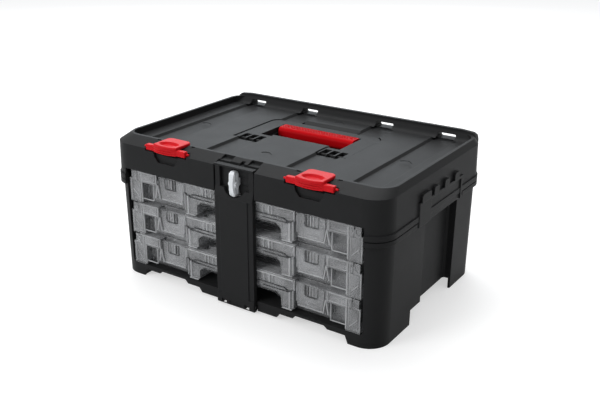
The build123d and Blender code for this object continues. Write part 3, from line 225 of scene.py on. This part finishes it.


# Clear polystyrene: faint faces, with the edges and ribs drawn in painted light: a painted highlight for light
# caught inside the wall on some, painted shade for light bent away on others
clearLook = {
    "faceDark": (0.36, 0.365, 0.375),
    "faceLight": (0.54, 0.55, 0.565),
    # Colours for the edges: a painted highlight and a painted shade
    "edgeLight": (0.90, 0.91, 0.92),
    "edgeDark": (0.16, 0.163, 0.168),
    "edge": 0.0008,
    "edgeGain": 2.6,
    "alphaFace": 0.30,
    "alphaEdge": 0.50,
    "alphaRim": 0.26,
    "flow": 26.0,
    "streak": 60.0,
    "roughLow": 0.10,
    "roughHigh": 0.26,
    "bump": 0.10,
    "bumpDepth": 0.0006,
    "rimBlend": 0.35,
    "streakFrom": 0.44,
    "streakGain": 9.0,
    "flowFrom": 0.35,
    "flowGain": 3.2,
}

# Ribs and steps of the same plastic, their colours painted light: a painted highlight on the ribs where they
# would gather light, painted shade on the steps where they would bend it away
ribHighlightLook = {
    "dark": (0.62, 0.63, 0.645),
    "light": (0.80, 0.81, 0.825),
    "worn": (0.92, 0.925, 0.93),
    "wornShare": 0.4,
    "grain": 700.0,
    "mottle": 90.0,
    "roughLow": 0.16,
    "roughHigh": 0.30,
    "bump": 0.05,
    "bumpDepth": 0.0001,
    "edge": 0.0003,
    "edgeGain": 2.0,
    "specular": 0.5,
    "alpha": 0.62,
}

stepShadeLook = {
    **ribHighlightLook,
    "dark": (0.030, 0.031, 0.034),
    "light": (0.070, 0.072, 0.076),
    "worn": (0.10, 0.10, 0.105),
    "wornShare": 0.3,
    "roughLow": 0.20,
    "roughHigh": 0.34,
    "specular": 0.4,
    "alpha": 0.74,
}

# Painted highlight for the lids' tops, and the latches' red, glossier and painted lighter than the grip's
lidHighlightLook = {**ribHighlightLook, "alpha": 0.30}
# The latches are the grip's plastic: their higher specular is real gloss, their lighter red is painted light
# for tops that face the lamps
latchLitLook = {**redLook, "dark": (0.50, 0.005, 0.009), "light": (0.62, 0.010, 0.016), "specular": 0.08}


def clearPlastic(name, look):
    shader = Shader(name)
    flow = shader.noise(look["flow"], 2.0, 0.5)
    streak = shader.noise(look["streak"], 2.0, 0.6)
    soft = shader.softened(look["edge"])
    edge = shader.edgeShare(soft, look["edgeGain"])
    rim = shader.node("ShaderNodeLayerWeight", {}, {"Blend": look["rimBlend"]})["Facing"]
    # A noise picks, edge by edge, the painted highlight or the painted shade
    lineTone = ((streak - look["streakFrom"]) * look["streakGain"]).clamped()
    line = shader.mixColour(lineTone, rgba(look["edgeDark"]), rgba(look["edgeLight"]))
    faceTone = ((flow - look["flowFrom"]) * look["flowGain"]).clamped()
    face = shader.mixColour(faceTone, rgba(look["faceDark"]), rgba(look["faceLight"]))
    alpha = edge * look["alphaEdge"] + rim * look["alphaRim"] + look["alphaFace"]
    body = shader.node("ShaderNodeBsdfPrincipled", {}, {
        "Base Color": shader.mixColour(edge, face, line),
        "Roughness": flow * (look["roughHigh"] - look["roughLow"]) + look["roughLow"],
        "Alpha": alpha.clamped(), "Normal": shader.bumped(look, flow, soft), "IOR": 1.50})
    return shader.finish(body["BSDF"])


steelLook = {
    "dark": (0.08, 0.082, 0.085),
    "light": (0.16, 0.165, 0.17),
    "grain": 2400.0,
    "rough": 0.42,
    "roughSpan": 0.15,
}


def platedSteel(name, look):
    shader = Shader(name)
    grain = shader.noise(look["grain"], 2.0, 0.5)
    body = shader.node("ShaderNodeBsdfPrincipled", {}, {
        "Base Color": shader.mixColour(grain, rgba(look["dark"]), rgba(look["light"])), "Metallic": 1.0,
        "Roughness": grain * look["roughSpan"] + look["rough"]})
    return shader.finish(body["BSDF"])


finishes = {
    "casing": mouldedPlastic("casingPlastic", casingLook),
    "red": mouldedPlastic("redPlastic", redLook),
    "knob": mouldedPlastic("knobPlastic", knobLook),
    "clear": clearPlastic("organiserPlastic", clearLook),
    "steel": platedSteel("pinSteel", steelLook),
}
ribHighlightPlastic = mouldedPlastic("organiserRibHighlight", ribHighlightLook)
stepShadePlastic = mouldedPlastic("organiserStepShade", stepShadeLook)
lidHighlightPlastic = mouldedPlastic("lidHighlight", lidHighlightLook)
latchLitPlastic = mouldedPlastic("latchLitPlastic", latchLitLook)
print("materials made:", len(bpy.data.materials))


def dressNodes():
    for entry in frame["record"]["subparts"]:
        mesh = nodes[entry["node"]].data
        mesh.materials.clear()
        mesh.materials.append(finishes[entry["material_slot"]])


def bodyOf(node):
    bodies = frame["record"]["behaviour"]["bodies"]
    return next(body for body, members in bodies.items() if node in members)


# Bevels and extrusions leave faces in an order that changes from run to run, so each face is written
# from its lowest corner and the faces in the order of their corners
def meshInOrder(name, bm):
    rings = []
    for face in bm.faces:
        ring = list(face.verts)
        start = ring.index(min(ring, key=lambda vert: vert.co[:]))
        rings.append(ring[start:] + ring[:start])
    rings.sort(key=lambda ring: [vert.co[:] for vert in ring])
    number = {}
    for ring in rings:
        for vert in ring:
            number.setdefault(vert, len(number))
    mesh = bpy.data.meshes.new(name)
    mesh.from_pydata([vert.co for vert in number], [], [[number[vert] for vert in ring] for ring in rings])
    return mesh


def addPiece(name, bm, body, slot, finish=None):
    bmesh.ops.recalc_face_normals(bm, faces=bm.faces)
    mesh = meshInOrder(name, bm)
    bm.free()
    piece = bpy.data.objects.new(name, mesh)
    bpy.context.scene.collection.objects.link(piece)
    mesh.materials.append(finish or finishes[slot])
    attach(piece, body)
    return piece


def inMetres(bm):
    bmesh.ops.scale(bm, vec=(mm, mm, mm), verts=bm.verts)
    return bm


dressNodes()
print("nodes dressed")


def roundEdges(bm, edges, radius, segments):
    bmesh.ops.bevel(bm, geom=edges, offset=radius, segments=segments, affect="EDGES", profile=0.5, material=-1)


def millBlock(bm, low, high, bevel=0.0, segments=2):
    size = [b - a for a, b in zip(low, high)]
    middle = [(a + b) / 2 for a, b in zip(low, high)]
    place = Matrix.Translation(middle) @ Matrix.Diagonal((*size, 1.0))
    verts = bmesh.ops.create_cube(bm, size=1.0, matrix=place)["verts"]
    if bevel:
        edges = {edge for vert in verts for edge in vert.link_edges}
        roundEdges(bm, list(edges), bevel, segments)


# Flip latches: lid with a thumb dish, nose with three curved ribs, and the cross bar on its pivots
latchShape = {
    "pivotReach": 42.8,       # the CAD latch's pivots from its middle
    "axisBehindTip": 7.7,     # pivot axis behind the CAD latch's foremost point
    "axisUnderTop": 8.0,
    "bodyHalf": 22.0,
    "lidRear": 32.6,          # behind the axis
    "lidThick": 4.0,
    "cornerRadius": 8.0,
    "cellsAcross": 56,
    "cellsDeep": 64,
    "edgeFront": 4.6,         # the nose's side edges before the axis
    "crownFront": 8.9,        # its crown before the axis
    "rimRound": 1.3,
    "dishMiddle": 5.6,
    "dishHalf": 17.0,
    "dishDeepHalf": 9.8,
    "dishDepth": 3.8,
    "dishSlope": 0.08,        # how far the dish's floor rises to the rear
    "dishWall": 2.6,          # steepness of its wall
    "ribs": [(3.6, 1.2, 8.5), (0.2, -2.0, 8.6), (-3.0, -5.2, 8.2)],   # top, foot and crown of each rib
    "ribRound": 0.7,
    "ribSteps": 24,           # along the curve
    "coreFoot": -4.9,
    "coreCrown": 6.6,
    "coreTop": 4.0,
    "barHalf": 38.2,
    "barBack": 3.7,
    "barFront": -4.3,
    "barLow": -4.7,
    "barHigh": 4.3,
    "barBevel": 1.5,
    "pivotRadius": 1.5,
    "pivotSides": 20,
    "pivotRoot": 1.0,         # of each pivot inside the bar
}


def noseFront(shape, across, crown):
    bow = 1.0 - (across / shape["bodyHalf"]) ** 2
    return -(shape["edgeFront"] + (crown - shape["edgeFront"]) * bow)


def lidHeight(shape, across, deep, front, rear):
    side = min(shape["bodyHalf"] - abs(across), deep - front, rear - deep)
    drop = shape["rimRound"] * max(0.0, 1.0 - side / shape["rimRound"]) ** 2
    along = (deep - shape["dishMiddle"]) / shape["dishDeepHalf"]
    lens = 1.0 - (across / shape["dishHalf"]) ** 2 - along ** 2
    depth = shape["dishDepth"] * (1.0 - shape["dishSlope"] * (1.0 + along))
    return shape["axisUnderTop"] - drop - depth * min(1.0, max(0.0, lens) * shape["dishWall"])


def latchLid(bm, shape):
    lid = bmesh.ops.create_grid(bm, x_segments=shape["cellsAcross"], y_segments=shape["cellsDeep"], size=1.0)
    verts = lid["verts"]
    outline = [edge for edge in bm.edges if edge.is_boundary]
    walls = bmesh.ops.extrude_edge_only(bm, edges=outline)["geom"]
    skirt = [item for item in walls if isinstance(item, bmesh.types.BMVert)]
    bmesh.ops.edgeloop_fill(bm, edges=[edge for edge in bm.edges if edge.is_boundary])
    radius = shape["cornerRadius"]
    for vert in verts + skirt:
        across = shape["bodyHalf"] * math.sin(vert.co.x * math.pi / 2)
        corner = max(0.0, abs(across) - shape["bodyHalf"] + radius)
        rear = shape["lidRear"] - radius + math.sqrt(max(0.0, radius ** 2 - corner ** 2))
        front = noseFront(shape, across, shape["crownFront"])
        share = (1.0 + math.sin(vert.co.y * math.pi / 2)) / 2
        deep = front + (rear - front) * share
        high = lidHeight(shape, across, deep, front, rear)
        vert.co = Vector((across, deep, high))
    for vert in skirt:
        vert.co.z = shape["axisUnderTop"] - shape["lidThick"]


# One layer of the nose, from the pivot axis to its bowed front, with the bowed edges rounded
def noseLayer(bm, shape, top, foot, crown):
    half = shape["bodyHalf"]
    row = [bm.verts.new((half, 0.0, top)), bm.verts.new((-half, 0.0, top))]
    for step in range(shape["ribSteps"] + 1):
        across = -half + 2 * half * step / shape["ribSteps"]
        row.append(bm.verts.new((across, noseFront(shape, across, crown), top)))
    face = bm.faces.new(row)
    grown = bmesh.ops.extrude_face_region(bm, geom=[face])["geom"]
    moved = [item for item in grown if isinstance(item, bmesh.types.BMVert)]
    bmesh.ops.translate(bm, verts=moved, vec=(0.0, 0.0, foot - top))
    layer = set(row + moved)
    bowed = [edge for edge in bm.edges if all(vert in layer and vert.co.y < -1.0 for vert in edge.verts)
             and abs(edge.verts[0].co.z - edge.verts[1].co.z) < 1e-6]
    roundEdges(bm, bowed, shape["ribRound"], 2)


def latchPiece(node):
    shape = latchShape
    low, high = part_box(node)
    bm = bmesh.new()
    latchLid(bm, shape)
    noseLayer(bm, shape, shape["coreTop"], shape["coreFoot"], shape["coreCrown"])
    for top, foot, crown in shape["ribs"]:
        noseLayer(bm, shape, top, foot, crown)
    millBlock(bm, (-shape["barHalf"], shape["barFront"], shape["barLow"]),
              (shape["barHalf"], shape["barBack"], shape["barHigh"]), shape["barBevel"], 3)
    reach = shape["pivotReach"] - shape["barHalf"] + shape["pivotRoot"]
    for side in (-1, 1):
        middle = side * (shape["pivotReach"] - reach / 2)
        turned = Matrix.Translation((middle, 0.0, 0.0)) @ Matrix.Rotation(math.pi / 2, 4, "Y")
        bmesh.ops.create_cone(bm, cap_ends=True, segments=shape["pivotSides"], radius1=shape["pivotRadius"],
                              radius2=shape["pivotRadius"], depth=reach, matrix=turned)
    place = Vector(((low[0] + high[0]) / 2, low[1] + shape["axisBehindTip"] * mm,
                    high[2] - shape["axisUnderTop"] * mm))
    bmesh.ops.transform(bm, matrix=Matrix.Translation(place) @ Matrix.Scale(mm, 4), verts=bm.verts)
    piece = addPiece("fine_" + node, bm, bodyOf(node), "red", latchLitPlastic)
    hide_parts(node)


# Knurl on the handle's grip: rows of small studs over its top and rear edge
knurlShape = {
    "columns": 44,
    "rows": 6,
    "pitch": 3.05,
    "rowPitch": 2.45,
    "rearInset": 2.9,
    "radius": 1.05,
    "tip": 0.5,
    "height": 0.8,
    "sunk": 0.05,
    "sides": 6,
}


def gripKnurl():
    shape = knurlShape
    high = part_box("handle_grip")[1]
    bm = bmesh.new()
    for row in range(shape["rows"]):
        deep = high[1] / mm - shape["rearInset"] - row * shape["rowPitch"]
        shift = shape["pitch"] / 2 if row % 2 else 0.0
        for column in range(shape["columns"]):
            across = (column - (shape["columns"] - 1) / 2) * shape["pitch"] + shift - shape["pitch"] / 4
            spot = Matrix.Translation((across, deep, high[2] / mm + shape["height"] / 2 - shape["sunk"]))
            bmesh.ops.create_cone(bm, cap_ends=True, segments=shape["sides"], radius1=shape["radius"],
                                  radius2=shape["tip"], depth=shape["height"], matrix=spot)
    addPiece("grip_knurl", inMetres(bm), bodyOf("handle_grip"), "red")


# Crescent marks left by the mould's ejectors in the top panel
crescentShape = {
    "marks": [(-180.0, 2.0), (-6.0, -70.0), (184.0, 10.0), (0.0, 129.0)],
    "panel": 217.5,
    "radius": 10.5,
    "width": 1.5,
    "height": 0.55,
    "sunk": 0.3,
    "slope": 0.3,
    "sweep": 128.0,
    "steps": 16,
    "hang": 0.8,              # the arc's centre under its mark, in radii
}


def joinedTo(ring):
    found = set(ring)
    fresh = list(ring)
    while fresh:
        vert = fresh.pop()
        for other in [edge.other_vert(vert) for edge in vert.link_edges]:
            if other not in found:
                found.add(other)
                fresh.append(other)
    return list(found)


def ejectorMarks():
    shape = crescentShape
    bm = bmesh.new()
    start = math.radians(90.0 - shape["sweep"] / 2)
    inner, outer = shape["radius"] - shape["width"], shape["radius"]
    section = [(inner, -shape["sunk"]), (outer, -shape["sunk"]), (outer - shape["slope"], shape["height"]),
               (inner + shape["slope"], shape["height"])]
    for across, deep in shape["marks"]:
        ring = [bm.verts.new((r * math.cos(start), r * math.sin(start), z)) for r, z in section]
        face = bm.faces.new(ring)
        bmesh.ops.spin(bm, geom=[face] + ring + list(face.edges), cent=(0, 0, 0), axis=(0, 0, 1),
                       angle=math.radians(shape["sweep"]), steps=shape["steps"], use_merge=False)
        bmesh.ops.translate(bm, verts=joinedTo(ring),
                            vec=(across, deep - shape["radius"] * shape["hang"], shape["panel"]))
    addPiece("ejector_marks", inMetres(bm), bodyOf("hood"), "casing")


# Hub round the turn knob's stem, seen on both sides of its wing
hubShape = {"radius": 6.6, "wingDepth": 11.9, "depthShare": 0.66, "segments": 40, "bevel": 1.3, "bevelSteps": 4}


def knobHub():
    shape = hubShape
    low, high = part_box("turn_knob")
    depth = shape["wingDepth"] * shape["depthShare"]
    rear = low[1] / mm + shape["wingDepth"]
    bm = bmesh.new()
    turned = Matrix.Translation((0.0, rear - depth / 2, (low[2] + high[2]) / 2 / mm)) @ Matrix.Rotation(
        math.pi / 2, 4, "X")
    bmesh.ops.create_cone(bm, cap_ends=True, segments=shape["segments"], radius1=shape["radius"],
                          radius2=shape["radius"], depth=depth, matrix=turned)
    rim = [edge for edge in bm.edges if all(vert.co.y < rear - depth / 2 for vert in edge.verts)]
    roundEdges(bm, rim, shape["bevel"], shape["bevelSteps"])
    addPiece("knob_hub", inMetres(bm), bodyOf("turn_knob"), "knob")


# Ribs and steps on the organisers: (x, z) from start to end, then the width, all on the right half
organiserTrim = {
    "inset": 1.2,             # the face behind the tray's foremost point
    "proud": 0.5,             # before the face
    "deep": 1.6,
    "ribs": [((185.2, 1.8), (185.2, 48.5), 2.0), ((189.0, 1.8), (189.0, 48.5), 0.9),
             ((206.7, 2.2), (206.7, 36.0), 1.0), ((191.2, 7.6), (202.6, 19.4), 1.1),
             ((157.2, 36.4), (183.4, 36.4), 0.8), ((157.2, 49.3), (194.0, 49.3), 0.7),
             ((151.4, 34.6), (148.0, 14.0), 1.1), ((152.4, 34.6), (156.6, 14.0), 1.1),
             ((154.2, 35.6), (154.2, 49.4), 1.3), ((160.7, 8.0), (160.7, 33.4), 0.8),
             ((160.7, 7.6), (183.4, 7.6), 0.8), ((91.4, 4.0), (91.4, 30.5), 1.5),
             ((97.4, 7.0), (97.4, 33.5), 0.6), ((78.5, 2.3), (95.0, 2.3), 0.7),
             ((56.4, 37.0), (56.4, 48.6), 1.0), ((62.0, 37.0), (62.0, 48.6), 0.5),
             ((47.0, 37.0), (47.0, 48.6), 0.5), ((34.8, 49.4), (97.0, 49.4), 0.8),
             ((99.4, 35.4), (99.4, 49.4), 0.8)],
    "steps": [((34.8, 35.2), (82.0, 35.2), 0.9), ((82.0, 35.2), (87.5, 32.0), 0.9),
              ((87.5, 32.0), (92.5, 31.9), 1.2), ((92.5, 31.9), (97.2, 35.0), 0.9),
              ((156.8, 34.6), (183.2, 34.6), 2.0), ((190.4, 34.6), (204.0, 34.3), 1.1),
              ((34.8, 24.2), (67.0, 24.2), 0.9), ((67.0, 24.2), (73.4, 19.5), 0.9),
              ((187.3, 2.0), (187.3, 48.5), 0.8), ((203.9, 6.0), (203.9, 33.0), 0.7),
              ((45.0, 30.0), (90.0, 30.0), 0.5), ((157.4, 37.4), (157.4, 48.6), 0.6)],
}

# The same on a clasp, with x from its middle
claspTrim = {
    "proud": 0.35,
    "deep": 1.0,
    "ribs": [((-21.0, 13.9), (19.5, 13.9), 0.6), ((-1.0, 33.4), (-1.0, 47.5), 0.9),
             ((4.0, 33.4), (4.0, 47.5), 0.4), ((9.4, 33.4), (9.4, 47.5), 0.4),
             ((-23.0, 20.0), (-23.0, 44.0), 0.5)],
    "steps": [((-8.6, 32.2), (-8.6, 48.0), 1.3), ((-8.6, 32.0), (-4.0, 31.4), 1.1),
              ((-4.0, 31.4), (8.0, 31.4), 1.3), ((8.0, 31.4), (11.6, 32.4), 1.1),
              ((-3.6, 33.4), (-3.6, 47.5), 0.8), ((12.2, 33.0), (12.2, 47.5), 0.8),
              ((23.2, 47.5), (23.0, 35.0), 0.9), ((23.0, 35.0), (20.2, 15.5), 0.9)],
}

# A strip runs past its ends by a share of its width, and its front edges are rounded by another
stripShape = {"overrun": 0.6, "round": 0.22}

# Plates behind and on the fronts, measured from the tray's foremost face and its floor
# The lid plates carry a painted highlight; the skirt and gap plates are of the organisers' own clear plastic
lidAndSkirtPlates = {
    "panelHalf": 66.0,
    "nearFront": (6.0, 22.5),
    "farFront": (28.0, 35.0),
    "thick": 0.35,
    "skirt": (196.6, 205.0),
    "skirtFront": 1.0,
    "skirtPlate": 0.9,
    "skirtLength": 24.0,
    "skirtRise": (35.5, 50.6),
    "gap": (98.2, 104.6),
    "gapBack": (13.6, 14.6),
    "gapRise": (9.0, 44.0),
}


def strip(bm, start, end, width, front, back):
    run, rise = end[0] - start[0], end[1] - start[1]
    length = math.hypot(run, rise) + width * stripShape["overrun"]
    place = Matrix.Translation(((start[0] + end[0]) / 2, (front + back) / 2, (start[1] + end[1]) / 2))
    turn = Matrix.Rotation(-math.atan2(rise, run), 4, "Y")
    sized = Matrix.Diagonal((length, back - front, width, 1.0))
    verts = bmesh.ops.create_cube(bm, size=1.0, matrix=place @ turn @ sized)["verts"]
    edges = [edge for edge in {edge for vert in verts for edge in vert.link_edges}
             if all(vert.co.y < (front + back) / 2 for vert in edge.verts)]
    roundEdges(bm, edges, width * stripShape["round"], 2)


# Strips of one kind and finish, placed by the middle they are measured from and the sides they stand on
def stripPiece(name, body, finish, strips, middle, sides, floor, depths):
    bm = bmesh.new()
    for start, end, width in strips:
        for side in sides:
            strip(bm, (middle + side * start[0], floor + start[1]), (middle + side * end[0], floor + end[1]),
                  width, *depths)
    addPiece(name, inMetres(bm), body, "clear", finish)


def sideBlock(bm, side, reach, depths, rise):
    ends = sorted(side * value for value in reach)
    millBlock(bm, (ends[0], depths[0], rise[0]), (ends[1], depths[1], rise[1]))


# Pale plates on each lid's top: a painted highlight where the lid's top would catch the light
def lidHighlight(index, front, body):
    layout = lidAndSkirtPlates
    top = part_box("lid_%d" % index)[1][2] / mm
    bm = bmesh.new()
    for near, far in (layout["nearFront"], layout["farFront"]):
        millBlock(bm, (-layout["panelHalf"], front + near, top),
                  (layout["panelHalf"], front + far, top + layout["thick"]))
    addPiece("lid_frost_%d" % index, inMetres(bm), body, "clear", lidHighlightPlastic)


def organiserSkirts(index, front, floor, body):
    layout = lidAndSkirtPlates
    inner, outer = layout["skirt"]
    plate = front + layout["skirtFront"]
    skirtRise = [floor + value for value in layout["skirtRise"]]
    bm = bmesh.new()
    for side in (-1, 1):
        sideBlock(bm, side, (inner, outer), (plate, plate + layout["skirtPlate"]), skirtRise)
        sideBlock(bm, side, (inner - layout["skirtPlate"], inner),
                  (plate, front + layout["skirtLength"]), skirtRise)
        sideBlock(bm, side, layout["gap"], [front + value for value in layout["gapBack"]],
                  [floor + value for value in layout["gapRise"]])
    addPiece("organiser_skirts_%d" % index, inMetres(bm), body, "clear")


def dressOrganiser(index):
    trim = organiserTrim
    body = bodyOf("tray_%d" % index)
    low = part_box("tray_%d" % index)[0]
    front, floor = low[1] / mm, low[2] / mm
    face = front + trim["inset"]
    # The rib strips carry the painted highlight, the step strips the painted shade
    for kind, finish in (("ribs", ribHighlightPlastic), ("steps", stepShadePlastic)):
        stripPiece("organiser_%s_%d" % (kind, index), body, finish, trim[kind], 0.0, (-1, 1), floor,
                   (face - trim["proud"], face + trim["deep"]))
    lidHighlight(index, front, body)
    organiserSkirts(index, front, floor, body)
    for hand, side in (("left", -1), ("right", 1)):
        node = "clasp_%s_%d" % (hand, index)
        low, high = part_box(node)
        middle = (low[0] + high[0]) / 2 / mm
        # The same painted highlight and painted shade on the clasp's ribs and steps
        for kind, finish in (("ribs", ribHighlightPlastic), ("steps", stepShadePlastic)):
            stripPiece("%s_%s" % (node, kind), bodyOf(node), finish, claspTrim[kind], middle, (side,), floor,
                       (low[1] / mm - claspTrim["proud"], low[1] / mm + claspTrim["deep"]))


for index in (1, 2, 3):
    dressOrganiser(index)
print("organisers dressed")
latchPiece("flip_latch_left")
latchPiece("flip_latch_right")
gripKnurl()
ejectorMarks()
knobHub()
print("fine pieces made")


# Floor, light and camera
stageLook = {"floorHalf": 6.0, "floor": (0.58, 0.58, 0.58), "glow": 0.54}


def seenDirectly(shader):
    path = shader.node("ShaderNodeLightPath")
    return path["Is Camera Ray"].largest(path["Is Glossy Ray"]).largest(path["Is Transmission Ray"])


def floorPiece():
    mesh = bpy.data.meshes.new("studioFloor")
    bm = bmesh.new()
    bmesh.ops.create_grid(bm, x_segments=1, y_segments=1, size=stageLook["floorHalf"])
    bm.to_mesh(mesh)
    bm.free()
    floor = bpy.data.objects.new("studioFloor", mesh)
    bpy.context.scene.collection.objects.link(floor)
    shader = Shader("studioFloor")
    plain = shader.node("ShaderNodeBsdfDiffuse", {}, {"Color": rgba(stageLook["floor"])})["BSDF"]
    glow = shader.node("ShaderNodeEmission", {}, {"Strength": stageLook["glow"]})["Emission"]
    lit = shader.node("ShaderNodeAddShader", {}, {0: plain, 1: glow})["Shader"]
    made = shader.node("ShaderNodeMixShader", {}, {0: seenDirectly(shader), 1: plain, 2: lit})
    mesh.materials.append(shader.finish(made["Shader"]))


# Soft room light: brightest above, behind and on the left, dimmest in front
worldLook = {
    "dim": 0.22,
    "gain": 0.62,
    "up": 0.40,
    "back": 0.45,
    "left": 0.40,
    "lift": 0.35,
    "tint": (0.97, 0.985, 1.0),
}


def studioWorld():
    shader = Shader("studio", world=True)
    bpy.context.scene.world = shader.made
    direction = shader.node("ShaderNodeTexCoord")["Generated"]
    across, deep, high = shader.axes(direction)
    share = (high * worldLook["up"] + deep * worldLook["back"] - across * worldLook["left"]
             + worldLook["lift"]).clamped()
    strength = share * worldLook["gain"] + worldLook["dim"]
    room = shader.node("ShaderNodeBackground", {}, {"Color": rgba(worldLook["tint"]), "Strength": strength})
    shown = shader.node("ShaderNodeBackground", {}, {"Color": (1, 1, 1, 1), "Strength": 1.0})
    made = shader.node("ShaderNodeMixShader", {}, {0: seenDirectly(shader), 1: room["Background"],
                                                   2: shown["Background"]})
    shader.finish(made["Shader"])


softLights = [
    {"name": "topSoft", "at": (-0.5, 0.7, 2.2), "aim": (0.0, 0.0, 0.15), "size": 1.6, "watts": 35.0,
     "tint": (1.0, 1.0, 1.0)},
    {"name": "backSoft", "at": (-1.5, 2.1, 1.15), "aim": (0.0, 0.0, 0.2), "size": 1.7, "watts": 16.0,
     "tint": (0.84, 0.93, 1.0)},
    {"name": "frontSoft", "at": (-1.1, -2.1, 1.3), "aim": (0.0, 0.0, 0.12), "size": 1.2, "watts": 31.0,
     "tint": (1.0, 1.0, 1.0)},
    {"name": "sideSoft", "at": (2.1, -0.3, 1.1), "aim": (0.0, 0.0, 0.12), "size": 1.0, "watts": 1.5,
     "tint": (1.0, 0.88, 0.78)},
]


def placeLights():
    for light in softLights:
        data = bpy.data.lights.new(light["name"], "AREA")
        data.shape = "SQUARE"
        data.size = light["size"]
        data.energy = light["watts"]
        data.color = light["tint"]
        lamp = bpy.data.objects.new(light["name"], data)
        bpy.context.scene.collection.objects.link(lamp)
        aim = Vector(light["aim"]) - Vector(light["at"])
        lamp.rotation_euler = aim.to_track_quat("-Z", "Y").to_euler()
        lamp.location = light["at"]


photoCamera = {
    "at": (0.68621, -1.02470, 0.60261),
    "right": (0.83206, 0.55468, 0.00317),
    "up": (-0.20446, 0.30139, 0.93132),
    "focalPixels": 831.16,
    "widthPixels": 600.0,
    "sensor": 36.0,
}


def placeCamera():
    view = photoCamera
    data = bpy.data.cameras.new("photoCamera")
    data.sensor_width = view["sensor"]
    data.lens = view["sensor"] * view["focalPixels"] / view["widthPixels"]
    camera = bpy.data.objects.new("photoCamera", data)
    bpy.context.scene.collection.objects.link(camera)
    right = Vector(view["right"]).normalized()
    up = Vector(view["up"]).normalized()
    back = right.cross(up)
    turn = Matrix((right, up, back)).transposed().to_4x4()
    camera.matrix_world = Matrix.Translation(view["at"]) @ turn
    bpy.context.scene.camera = camera


floorPiece()
studioWorld()
placeLights()
placeCamera()
bpy.context.scene.view_settings.view_transform = "Standard"
print("stage set")
